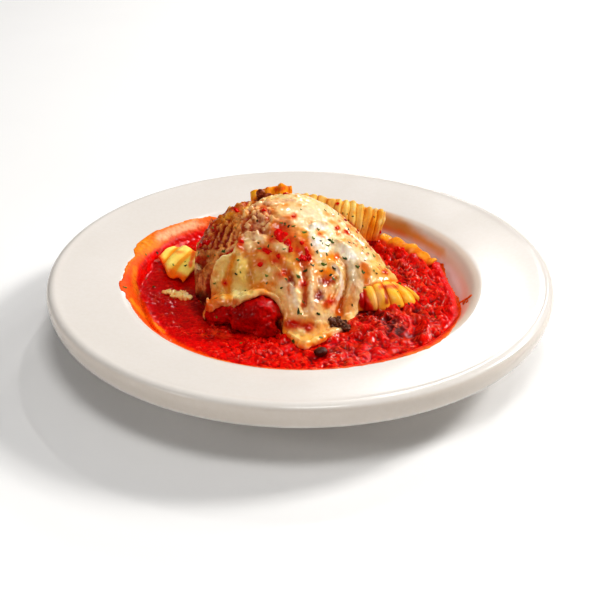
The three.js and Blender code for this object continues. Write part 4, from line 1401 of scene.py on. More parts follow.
SAUCE_BUMPS = [  # x, y on the plan, radius and height of larger pieces of tomato
    (52, -30, 8, 2.2), (38, -56, 7, 2.0), (60, -44, 7, 1.8), (24, -70, 6, 1.6), (70, -18, 7, 1.8),
    (78, 2, 6, 1.6), (64, 24, 7, 1.6), (52, 34, 7, 1.8), (44, -74, 6, 1.2), (-8, -80, 6, 1.2),
    (-26, -72, 7, 1.4), (-46, -62, 6, 1.2), (-60, -46, 6, 1.0), (-72, -30, 6, 0.8),
    (-66, 40, 8, 1.4), (-54, 56, 8, 1.6), (-36, 72, 8, 1.5), (-10, 76, 8, 1.6), (16, 82, 7, 1.4),
    (42, 74, 7, 1.4), (82, -28, 5, 1.2), (4, -88, 5, 0.8), (30, -84, 5, 1.0), (56, -66, 6, 1.2),
    (76, 26, 6, 1.4),
]


SAUCE_HOLLOWS = [(52, -40, 9, 2.6), (44, -36, 6, 2.0), (74, -10, 5, 1.4), (68, -30, 4, 1.6),
                 (30, -62, 5, 1.4), (-34, -70, 6, 1.2), (6, -82, 5, 1.2), (-52, -54, 5, 1.2)]


def sauce_relief(x, y):
    """Pulp: rounded pieces in three sizes and torn streaks, calmer at the left."""
    flat = np.stack([x.ravel(), y.ravel(), 0.35 * y.ravel()], -1)
    warp = flat + 1.5 * np.stack(
        [noise(flat, 4.5, 101), noise(flat, 4.5, 102), noise(flat, 4.5, 103)], -1
    )
    c, s = 0.64, -0.77
    streaky = np.stack(
        [(warp[:, 0] * c + warp[:, 1] * s) / 3.2, -warp[:, 0] * s + warp[:, 1] * c, 0 * warp[:, 0]], -1
    )
    torn = (1 - 2.2 * np.abs(noise(streaky, 4.2, 113))) + 0.6 * (
        1 - 2.2 * np.abs(noise(streaky, 2.1, 114))
    )
    right = smooth(36, 60, flat[:, 0]) * smooth(-56, -30, flat[:, 1])
    puff = np.abs(noise(warp, 6.5, 115)) + 0.55 * np.abs(noise(warp, 3.2, 116))
    f1, f2, own = grains(warp, 6.4, 104)
    g1, g2, gown = grains(warp, 3.1, 105)
    h1, h2, hown = grains(warp, 1.7, 106)
    big = np.clip(0.85 - f1, 0, 1) ** 1.2 * (0.3 + 1.2 * own)
    mid = np.clip(0.8 - g1, 0, 1) * (0.2 + 1.2 * gown)
    tiny = np.clip(0.75 - h1, 0, 1) * (0.2 + hown)
    r = np.hypot(flat[:, 0], flat[:, 1])
    ang = np.arctan2(flat[:, 1], flat[:, 0])
    chunky = smooth(-70, -10, flat[:, 0]) * 0.55 + 0.45 * smooth(0, 40, flat[:, 0])
    chunky = np.maximum(chunky, 0.5 * smooth(10, 40, flat[:, 1]) * smooth(-80, -60, flat[:, 0]))
    calm = smooth(100, 93, r)
    patch = 0.65 + 0.6 * fbm(flat, 22, 2, 107)
    wide = np.abs(noise(warp, 11.0, 117))
    h = chunky * patch * (2.8 * big + 2.0 * mid + 0.5 * tiny + 3.6 * (puff - 0.35)) * calm
    h += chunky * calm * (right * 1.7 * torn + 5.0 * (wide - 0.25))
    h += 0.18 * calm * (0.4 + 0.6 * chunky) * np.abs(noise(warp, 2.4, 119))
    h += (1 - chunky) * calm * (1.1 * mid + 0.5 * tiny + 1.5 * (puff - 0.3)) * smooth(
        -0.2, 0.3, fbm(flat, 14, 2, 109)
    )
    for cx, cy, rad, deep in SAUCE_HOLLOWS:
        d = np.hypot(flat[:, 0] - cx, (flat[:, 1] - cy) * 0.8) + 0.3 * rad * noise(flat, rad * 0.9, 118)
        h -= deep * np.clip(1 - (d / rad) ** 2, 0, 1) * calm
    for cx, cy, rad, high in SAUCE_BUMPS:
        d = np.hypot(flat[:, 0] - cx, flat[:, 1] - cy)
        d = d + 0.25 * rad * noise(flat, rad * 0.9, 111)
        h += high * np.clip(1 - (d / rad) ** 2, 0, 1) ** 1.5 * calm * (0.3 + 0.7 * chunky)
    return h.reshape(x.shape)


def make_sauce():
    around = 820
    a = np.arange(around) * 2 * np.pi / around - np.pi
    ragged = np.stack([np.cos(a) * 98, np.sin(a) * 98, 0 * a], -1)
    edge = film_reach(a) + 0.55 * noise(ragged, 4.0, 121) + 0.35 * noise(ragged, 1.6, 122)
    edge = np.minimum(edge, 112.5)
    pool = np.minimum(pool_reach(a) + 0.5 * noise(ragged, 7.0, 123), edge - 0.8)
    inner = core_reach(np.arctan2(np.sin(a) * 60, np.cos(a) * 60 + 3)) - 11.0
    inner = np.clip(inner, 34, 60)
    rings = 96
    t = np.linspace(0, 1, rings + 1)
    t = 1 - (1 - t) ** 1.12
    outer_rows = inner[None] + (edge - inner)[None] * t[:, None]
    hub = np.linspace(0, 1, 5)[1:-1][:, None] * inner[None]
    rr = np.vstack([hub, outer_rows])
    x, y = rr * np.cos(a), rr * np.sin(a)
    relief = sauce_relief(x, y)
    level = sauce_level(x, y) + relief - 1.0
    w = wall(rr)
    film_t = 0.45 * np.sqrt(np.clip((edge[None] - rr) / 1.6, 0, 1)) * (
        1 + 0.5 * noise(np.stack([x.ravel(), y.ravel(), w.ravel()], -1), 3.0, 125).reshape(x.shape)
    )
    far = np.clip((rr - pool[None]) / 2.5, 0, 1)
    level = mix(level, SAUCE_Z - 0.2, smooth(0.0, 1.0, 1 - np.clip((pool[None] - rr) / 5.0, 0, 1)))
    z = smax(level - 6 * far, w + film_t, 1.4)
    z[-1] = w[-1] - 0.25
    below_f = np.array([0.97, 0.92, 0.8, 0.5, 0.2])
    br = below_f[:, None] * (edge - 0.6)[None]
    bx, by = br * np.cos(a), br * np.sin(a)
    bz = wall(br) - 0.3
    v = np.concatenate(
        [
            np.stack([x, y, z], -1).reshape(-1, 3),
            np.stack([bx, by, bz], -1).reshape(-1, 3),
            [[0, 0, SAUCE_Z - 1.0], [0, 0, wall(0.0) - 0.3]],
        ]
    )
    rows = len(rr) + len(below_f)
    i = np.arange(rows - 1)[:, None] * around
    j = np.arange(around)[None]
    k = (j + 1) % around
    quads = np.stack([i + j, i + around + j, i + around + k, i + k], -1).reshape(-1, 4)
    last = (rows - 1) * around
    tri = np.vstack(
        [
            np.stack([np.full(around, len(v) - 2), j[0], k[0]], -1),
            np.stack([np.full(around, len(v) - 1), last + k[0], last + j[0]], -1),
        ]
    )
    n = normals(v, quads)
    p = Paint(v, n, (236, 15, 0), wobble=1.0, size=2.6, seed=130)
    f1, f2, own = grains(v, 4.0, 131)
    p.put(smooth(0.4, 0.9, own) * smooth(-60, 10, v[:, 0]), (242, 52, 14), 0.6)
    p.put(1 - smooth(0.1, 0.3, own), (196, 8, 4), 0.6)
    low = np.zeros(len(v))
    low[: relief.size] = relief.ravel()
    low[relief.size :] = 1.0
    r = np.hypot(v[:, 0], v[:, 1])
    ang = np.arctan2(v[:, 1], v[:, 0])
    e = np.interp(ang, a, edge, period=2 * np.pi)
    pl = np.interp(ang, a, pool, period=2 * np.pi)
    deep = smooth(-3.0, -8.0, r - pl)
    shade = p.streak
    shade([(184, 284), (194, 302), (210, 318), (232, 326), (262, 332)], [4, 6, 8, 6, 5], (128, 2, 2), 0.85, 0.9)
    shade([(382, 316), (392, 325), (400, 332)], [8, 9, 7], (96, 0, 3), 0.95, 0.8)
    shade([(414, 312), (424, 315), (434, 319)], [4, 5, 4], (120, 1, 4), 0.9, 0.8)
    shade([(352, 318), (362, 315), (372, 312)], [4, 5, 4], (110, 2, 3), 0.85, 0.8)
    shade([(404, 338), (416, 337), (424, 333)], [3, 4, 3], (130, 2, 4), 0.8, 0.8)
    shade([(330, 352), (350, 349), (366, 342)], [2.4, 3, 2.4], (150, 3, 3), 0.7, 0.8)
    shade([(400, 262), (404, 275), (410, 290)], [3, 4, 4], (140, 2, 6), 0.7, 0.9)
    shade([(380, 243), (390, 252), (398, 262)], [3, 3, 3], (150, 6, 10), 0.7, 0.9)
    # painted shade in the pulp's troughs and hollows, painted light on its tops and crests
    p.put(smooth(0.0, -1.6, low) * deep, (140, 2, 3), 0.8)
    p.put(smooth(1.4, 3.4, low) * deep, (244, 52, 18), 0.5)
    cave = hollow(v, quads, n, 5)
    p.put(smooth(0.04, 0.34, cave) * deep, (128, 1, 2), 0.75)
    p.put(smooth(0.03, 0.25, -cave) * deep, (250, 58, 20), 0.5)
    # pale pulp and seeds, with painted sheen on the lumps
    near = smooth(-30, 20, v[:, 0]) * smooth(40, 15, v[:, 1])
    pale_pulp_and_sheen = smooth(0.2, 0.42, fbm(v * [1.0, 1.6, 1.0], 1.7, 2, 137) + 0.3 * noise(v, 9, 139)) * smooth(-0.6, 0.6, low)
    p.put(smooth(-58, -74, v[:, 0]) * deep, (206, 4, 0), 0.6)
    p.put(pale_pulp_and_sheen * deep * (0.5 + 0.5 * near), (255, 128, 84), 0.8)
    # painted glints: near-white specks on the lumps
    painted_glint = smooth(0.3, 0.44, fbm(v * [1.0, 1.5, 1.0], 1.5, 2, 143) + 0.25 * noise(v, 8, 145)) * smooth(0.0, 0.9, low)
    painted_glint = painted_glint * smooth(-0.12, 0.25, fbm(v, 11, 2, 147))
    p.put(painted_glint * deep * (0.3 + 0.7 * near), (255, 216, 196), 0.9)
    # painted light: lighter red on the raised lumps at the right and front
    p.put(smooth(0.3, 0.7, fbm(v, 7, 2, 141)) * smooth(0.0, 1.2, low) * deep * near, (240, 70, 44), 0.5)
    film = smooth(-1.2, 0.8, r - pl) * smooth(2.0, 4.0, e - pl)
    dull = np.clip(smooth(-4.0, 0.5, r - pl), 0, 1)
    dull = np.maximum(dull, 0.7 * smooth(-0.2, -1.6, low))
    dull = np.maximum(dull, smooth(1.4, 0.6, np.hypot((p.px[:, 0] - 393) / 16, (p.px[:, 1] - 328) / 12)))
    p.put(film, (252, 128, 6), 0.94)
    p.put(smooth(2.8, 0.5, e - r), (253, 156, 24), 0.92)
    p.put(smooth(5.0, 1.5, e - r) * (1 - film), (240, 70, 4), 0.75)
    p.only = film
    p.spot(146, 245, 14, 9, (252, 166, 10), 0.9)
    p.spot(127, 281, 6, 8, (252, 100, 12), 0.9)
    p.spot(150, 318, 16, 6, (246, 104, 6), 0.9, 0.7)
    p.streak([(135, 268), (134, 280), (137, 293)], 2.4, (250, 160, 30), 0.7)
    p.streak([(124, 294), (134, 303), (144, 312)], 3, (250, 130, 14), 0.7)
    # a painted reflection: a pale pink sheen on the film at the back left
    p.streak([(160, 237), (180, 229), (202, 222)], 4.5, (255, 206, 168), 0.85)
    p.streak([(170, 240), (186, 233), (204, 228)], 2, (240, 84, 10), 0.6)
    p.streak([(126, 292), (138, 306), (152, 318), (170, 330), (190, 340)], 6, (250, 120, 6), 0.8)
    p.only = 1.0
    p.streak([(119, 286), (127, 301), (138, 316), (149, 326.5), (159, 335), (169, 342.5), (189, 352), (205, 357)],
             [7, 8, 7.5, 7, 6, 5, 4, 3], (255, 118, 4), 0.95, 0.6)
    p.streak([(131, 300), (141, 312), (152, 322), (164, 332)], 1.6, (255, 172, 36), 0.8)
    p.streak([(200, 221), (212, 219), (224, 221)], 3, (252, 130, 12), 0.8)
    p.only = 1.0
    p.streak([(176, 243), (190, 240), (205, 240)], 5, (214, 26, 6), 0.6)
    p.spot(216, 333, 5, 3, (246, 120, 50), 0.6)
    p.spot(224, 336, 5, 3, (242, 110, 60), 0.5)
    p.spot(204, 335, 3, 1.6, (248, 120, 40), 0.7)
    p.spot(356, 330, 5, 4, (240, 90, 20), 0.6)
    for q in ((404, 312), (380, 246), (406, 340), (417, 318), (356, 346), (392, 352), (344, 334)):
        p.spot(q[0], q[1], 5, 3, (244, 84, 22), 0.6)
    ob = mesh("sauce_pool", v, [quads, tri], M_SAUCE, p.rgb, {"dull": dull})
    finish_piece(ob, "sauce", "sauce")
    return v, quads


# ---------------------------------------------------------------- pasta sheets
def crom(points, u):
    """A centripetal Catmull-Rom line through points."""
    p = np.asarray(points, float)
    n = len(p) - 1
    s = np.clip(u, 0, 1) * n
    i = np.minimum(s.astype(int), n - 1)
    w = (s - i)[:, None]
    a, b = p[i], p[i + 1]
    before = np.where((i > 0)[:, None], p[np.maximum(i - 1, 0)], 2 * a - b)
    after = np.where((i + 2 <= n)[:, None], p[np.minimum(i + 2, n)], 2 * b - a)
    d0 = np.maximum(np.linalg.norm(a - before, axis=1), 1e-6)[:, None] ** 0.5
    d1 = np.maximum(np.linalg.norm(b - a, axis=1), 1e-6)[:, None] ** 0.5
    d2 = np.maximum(np.linalg.norm(after - b, axis=1), 1e-6)[:, None] ** 0.5
    m1 = ((a - before) / d0 - (b - before) / (d0 + d1) + (b - a) / d1) * d1
    m2 = ((b - a) / d1 - (after - a) / (d1 + d2) + (after - b) / d2) * d1
    w2, w3 = w * w, w * w * w
    return (2 * w3 - 3 * w2 + 1) * a + (w3 - 2 * w2 + w) * m1 + (-2 * w3 + 3 * w2) * b + (w3 - w2) * m2


def make_sheet(edge, inner, waves, height, push, bow=0.0, phase=0.0, nu=240, nv=26, thick=2.1,
               start=0.0, ribs=0.0, seed=0, ragged=0.4, flare=0.0):
    """A ruffled sheet as a closed slab with rounded edges."""
    direction = np.array(push, float)
    direction /= np.linalg.norm(direction)
    uu = np.linspace(0, 1, nu + 1)
    vv = np.linspace(0, 1, nv + 1)
    a, b = crom(inner, uu), crom(edge, uu)
    u, v = np.meshgrid(uu, vv, indexing="ij")
    pos = a[:, None] + (b - a)[:, None] * v[..., None]
    sway = noise(np.stack([u.ravel() * 5, 0.4 * v.ravel(), 0 * u.ravel()], -1), 1.0, seed + 8)
    s = waves * u + phase + 0.16 * sway.reshape(u.shape)
    plain = np.sin(2 * np.pi * s)
    round_rib = 2 * np.abs(np.sin(np.pi * (s + 0.25))) ** 0.7 - 1.15
    shape = mix(plain, round_rib, ribs)
    fade = mix(start, 1.0, smooth(0.0, 0.8, v))
    amp = height * (1 + 0.42 * noise(np.stack([u.ravel() * 9, v.ravel(), 0 * u.ravel()], -1), 1.0, seed + 7)).reshape(u.shape)
    amp = amp * (1 + flare * smooth(0.7, 0.95, u))
    pos = pos + direction * (amp * shape * fade + bow * 4 * v * (1 - v))[..., None]
    flat = pos.reshape(-1, 3)
    wob = np.stack([noise(flat, 8, seed + i) for i in range(3)], -1).reshape(pos.shape)
    pos = pos + ragged * wob * v[..., None]
    du = np.gradient(pos, axis=0)
    dv = np.gradient(pos, axis=1)
    nrm = np.cross(du, dv)
    nrm /= np.maximum(np.linalg.norm(nrm, axis=2), 1e-9)[..., None]
    # rounded borders: the last rows pull in as the slab thins
    border = np.minimum.reduce([
        u * np.linalg.norm(np.diff(b, axis=0), axis=1).sum(),
        (1 - u) * np.linalg.norm(np.diff(b, axis=0), axis=1).sum(),
        (1 - v) * np.linalg.norm(b - a, axis=1).mean(),
    ])
    half = thick / 2 * np.sqrt(np.clip(1 - (1 - np.clip(border / (thick * 0.5), 0, 1)) ** 2, 0.02, 1))
    lift = 0.10 * fbm(flat, 2.2, 2, seed + 21).reshape(u.shape)
    front = pos + nrm * (half + lift)[..., None]
    rear = pos - nrm * (half + 0.5 * lift)[..., None]
    m, k = u.shape
    idx = np.arange(m * k).reshape(m, k)
    verts = np.vstack([front.reshape(-1, 3), rear.reshape(-1, 3)])
    off = m * k
    f = [
        np.stack([idx[:-1, :-1], idx[1:, :-1], idx[1:, 1:], idx[:-1, 1:]], -1).reshape(-1, 4),
        np.stack([idx[:-1, :-1], idx[:-1, 1:], idx[1:, 1:], idx[1:, :-1]], -1).reshape(-1, 4) + off,
    ]
    loop = np.concatenate([idx[:-1, 0], idx[-1, :-1], idx[1:, -1][::-1], idx[0, 1:][::-1]])
    nxt = np.roll(loop, -1)
    f.append(np.stack([loop, loop + off, nxt + off, nxt], -1))
    q = np.vstack(f)
    uv = np.concatenate([np.stack([u, v, shape], -1).reshape(-1, 3)] * 2)
    return verts, q, uv


def sheet_piece(name, node_name, spec, paint_on):
    v, q, uv = make_sheet(**spec)
    n = normals(v, q)
    # face outwards whichever way the sheet was laid
    c = v[q].mean(1)
    vol = (c * np.cross(v[q[:, 2]] - v[q[:, 0]], v[q[:, 3]] - v[q[:, 1]])).sum()
    if vol < 0:
        q = q[:, ::-1]
        n = -n
    p = paint_on(v, n, uv)
    ob = mesh(name, v, q, M_PASTA, p.rgb)
    finish_piece(ob, "pasta", node_name)
    return v, q


def paint_back(v, n, uv):
    p = Paint(v, n, (255, 228, 148), wobble=0.8, size=3, seed=150)
    # painted shade: darker orange in the grooves of the ruffles
    groove = smooth(0.35, -0.8, uv[:, 2] + 0.5 * noise(v, 4, 153))
    p.put(groove, (250, 190, 62), 0.8)
    p.put(smooth(-0.5, -1.0, uv[:, 2]), (236, 150, 44), 0.4)
    p.put(smooth(0.9, 1.0, uv[:, 1]), (248, 178, 50), 0.5)
    p.put(smooth(0.2, 0.6, fbm(v, 5, 3, 151)), (250, 186, 66), 0.75)
    p.put(smooth(0.15, 0.5, fbm(v, 3.4, 2, 157)), (255, 244, 206), 0.6)
    p.put(smooth(0.45, 0.0, uv[:, 1]), (240, 132, 34), 0.4)
    p.put(smooth(0.7, 0.3, uv[:, 0]), (250, 208, 118), 0.6)
    # more painted shade in the grooves, towards the sheet's left end
    p.put(smooth(0.1, -0.7, uv[:, 2]) * smooth(0.6, 0.1, uv[:, 0]), (214, 120, 30), 0.7)
    p.spot(337, 204, 2.2, 1.6, (226, 60, 20), 0.8)
    p.spot(365, 215, 8, 8, (254, 212, 120), 0.6)
    p.spot(373, 224, 6, 10, (250, 176, 26), 0.9)
    p.spot(379, 214, 5, 5, (252, 190, 60), 0.8)
    p.spot(368, 236, 5, 5, (246, 160, 24), 0.8)
    p.spot(381, 222, 2, 3, (255, 236, 170), 0.8)
    p.spot(374, 208, 4, 2, (255, 240, 190), 0.7)
    p.spot(380, 227, 3, 4, (250, 206, 110), 0.6)
    p.spot(367, 212, 6, 4, (248, 190, 84), 0.6)
    p.streak([(334, 213), (343, 220), (352, 227)], 3, (214, 40, 16), 0.8)
    p.streak([(372, 240), (380, 238), (384, 232)], 3, (226, 96, 16), 0.7)
    return p


def paint_plain(base, deep, seed):
    def inner(v, n, uv):
        p = Paint(v, n, base, wobble=0.8, size=3, seed=seed)
        # painted shade: the deep colour in the grooves of the ruffles
        p.put(smooth(0.2, -0.9, uv[:, 2]), deep, 0.75)
        p.put(smooth(0.1, 0.6, fbm(v, 8, 3, seed + 1)), deep, 0.45)
        return p

    return inner


def paint_left(v, n, uv):
    p = paint_plain((255, 232, 140), (254, 204, 84), 170)(v, n, uv)
    # painted shade: deeper orange in the bottoms of the grooves
    p.put(smooth(-0.5, -1.0, uv[:, 2]), (246, 150, 20), 0.6)
    p.put(smooth(0.86, 1.0, uv[:, 1]), (252, 150, 20), 0.7)
    p.streak([(158, 258), (161, 266), (160, 272)], 4, (250, 90, 6), 0.9)
    p.streak([(170, 273), (180, 277), (186, 280)], 4, (250, 130, 6), 0.9)
    p.streak([(194, 251), (192, 258), (190, 266)], 1.8, (240, 110, 10), 0.8)
    p.spot(179, 252, 5, 2, (236, 130, 30), 0.7)
    p.spot(196, 254, 4, 6, (232, 120, 24), 0.7)
    p.streak([(160, 270), (165, 277)], 3, (236, 120, 20), 0.7)
    return p


def paint_front(v, n, uv):
    p = Paint(v, n, (253, 208, 92), wobble=0.7, size=3, seed=190)
    # painted shade: orange to brown in the grooves of the ruffles
    p.put(smooth(0.45, -0.6, uv[:, 2]), (232, 138, 12), 0.9)
    p.put(smooth(-0.2, -0.9, uv[:, 2]), (190, 80, 0), 0.9)
    p.put(smooth(0.5, 0.0, uv[:, 0]), (236, 178, 92), 0.5)
    p.put(smooth(0.85, 1.0, uv[:, 1]), (206, 86, 8), 0.5)
    p.streak([(380, 287), (390, 286), (397, 287)], 2, (214, 60, 8), 0.7)
    # sauce in the gap beside the cheese stream, painted dark red as shade
    p.streak([(361, 294), (364, 304), (371, 312)], [5, 5.5, 4], (186, 12, 3), 1.0, 0.4)
    p.streak([(364, 292), (367, 300), (372, 307)], 2, (232, 60, 12), 0.7)
    p.spot(377, 299, 4, 9, (246, 204, 150), 0.7, 0.1)
    p.streak([(385, 287), (386.5, 296), (387, 303)], 1.6, (188, 76, 0), 0.9)
    p.spot(401, 292, 3, 6, (250, 178, 40), 0.7, -0.3)
    p.spot(413, 295, 2.4, 5, (255, 200, 70), 0.7, -0.5)
    return p


def paint_right(v, n, uv):
    p = Paint(v, n, (252, 184, 66), wobble=0.8, size=3, seed=210)
    # painted shade: orange in the grooves of the ruffles
    p.put(smooth(0.1, -0.9, uv[:, 2]), (240, 140, 34), 0.6)
    p.put(smooth(0.7, 0.4, uv[:, 1] + 0.1 * noise(v, 4, 213)), (206, 40, 10), 0.9)
    return p


def paint_curl(v, n, uv):
    p = Paint(v, n, (254, 176, 22), wobble=0.8, size=2.4, seed=230)
    p.put(smooth(0.1, 0.5, fbm(v, 6, 3, 231)), (232, 104, 6), 0.8)
    p.put(smooth(0.15, 0.5, fbm(v, 3.4, 2, 235)), (255, 214, 90), 0.6)
    # painted shade: orange in the grooves of the ruffles
    p.put(smooth(0.2, -0.9, uv[:, 2]), (224, 110, 20), 0.5)
    p.spot(254, 194, 5, 4, (246, 196, 70), 0.8)
    p.spot(287, 196, 3, 6, (253, 190, 50), 0.7)
    p.streak([(276, 190), (284, 188)], 2, (222, 96, 14), 0.7)
    return p


# ---------------------------------------------------------------- lumps of food
def blob(name, node_name, slot, material, parts, cell, base, grain=(3.0, 0.6), fine=(1.4, 0.15),
         seed=0, smooth_k=2.0, painter=None, relax=1):
    """Uneven lumps: joined ellipsoids with rounded grains on them."""
    low = np.min([np.array(c) - max(h) - 2.5 for c, h, *_ in parts], 0)
    high = np.max([np.array(c) + max(h) + 2.5 for c, h, *_ in parts], 0)
    g = Field(low, high, cell)
    p = np.stack(np.meshgrid(g.x, g.y, g.z, indexing="ij"), -1).reshape(-1, 3)
    f = None
    for centre, half, turn, tilt in parts:
        d = p - np.array(centre)
        c, s = np.cos(-turn), np.sin(-turn)
        d = np.stack([d[:, 0] * c - d[:, 1] * s, d[:, 0] * s + d[:, 1] * c, d[:, 2]], -1)
        c, s = np.cos(-tilt), np.sin(-tilt)
        d = np.stack([d[:, 0], d[:, 1] * c - d[:, 2] * s, d[:, 1] * s + d[:, 2] * c], -1)
        h = np.array(half, float)
        k0 = np.linalg.norm(d / h, axis=1)
        k1 = np.linalg.norm(d / (h * h), axis=1)
        e = k0 * (k0 - 1) / np.maximum(k1, 1e-6)
        f = e if f is None else smin(f, e, smooth_k)
    near = np.abs(f) < 3.2
    q = p[near]
    f1, f2, own = grains(q, grain[0], seed + 1)
    f[near] -= grain[1] * (1.7 * np.clip(0.85 - f1, 0, 1) * (0.5 + own) - 0.55)
    f[near] -= fine[1] * 3 * fbm(q, fine[0] * 3, 3, seed + 3)
    v, q = g.surface(f.reshape(g.n).astype(np.float32), relax=relax)
    v, q = biggest(v, q)
    n = normals(v, q)
    v = v + n * (fine[1] * fbm(v, fine[0], 2, seed + 9))[:, None]
    n = normals(v, q)
    rgb = painter(v, n) if painter else Paint(v, n, base).rgb
    ob = mesh(name, v, q, material, rgb)
    finish_piece(ob, slot, node_name)
    return v, q


def mottled(base, dark, light, seed, size=3.0):
    def inner(v, n):
        p = Paint(v, n, base, seed=seed)
        p.put(smooth(0.0, 0.5, fbm(v, size, 3, seed + 1)), dark, 0.8)
        p.put(smooth(0.1, 0.55, fbm(v, size, 3, seed + 7)), light, 0.7)
        return p.rgb

    return inner


def paint_ball(v, n):
    p = Paint(v, n, (200, 8, 4), wobble=1.2, size=3, seed=250)
    p.put(smooth(0.05, 0.5, fbm(v, 6, 3, 251)), (138, 2, 3), 0.7)
    p.put(smooth(0.15, 0.5, fbm(v, 4, 3, 255)), (218, 22, 10), 0.7)
    # painted shade: darker red on the underside
    p.put(smooth(30, 24, v[:, 2]), (132, 4, 3), 0.6)
    # painted light: lighter red on the upper right
    p.spot(270, 306, 11, 12, (216, 20, 14), 0.6)
    p.spot(226, 312, 9, 5, (190, 16, 12), 0.5)
    # painted shadow low on the front of the meat
    p.spot(246, 316, 12, 7, (140, 3, 3), 0.5)
    return p.rgb


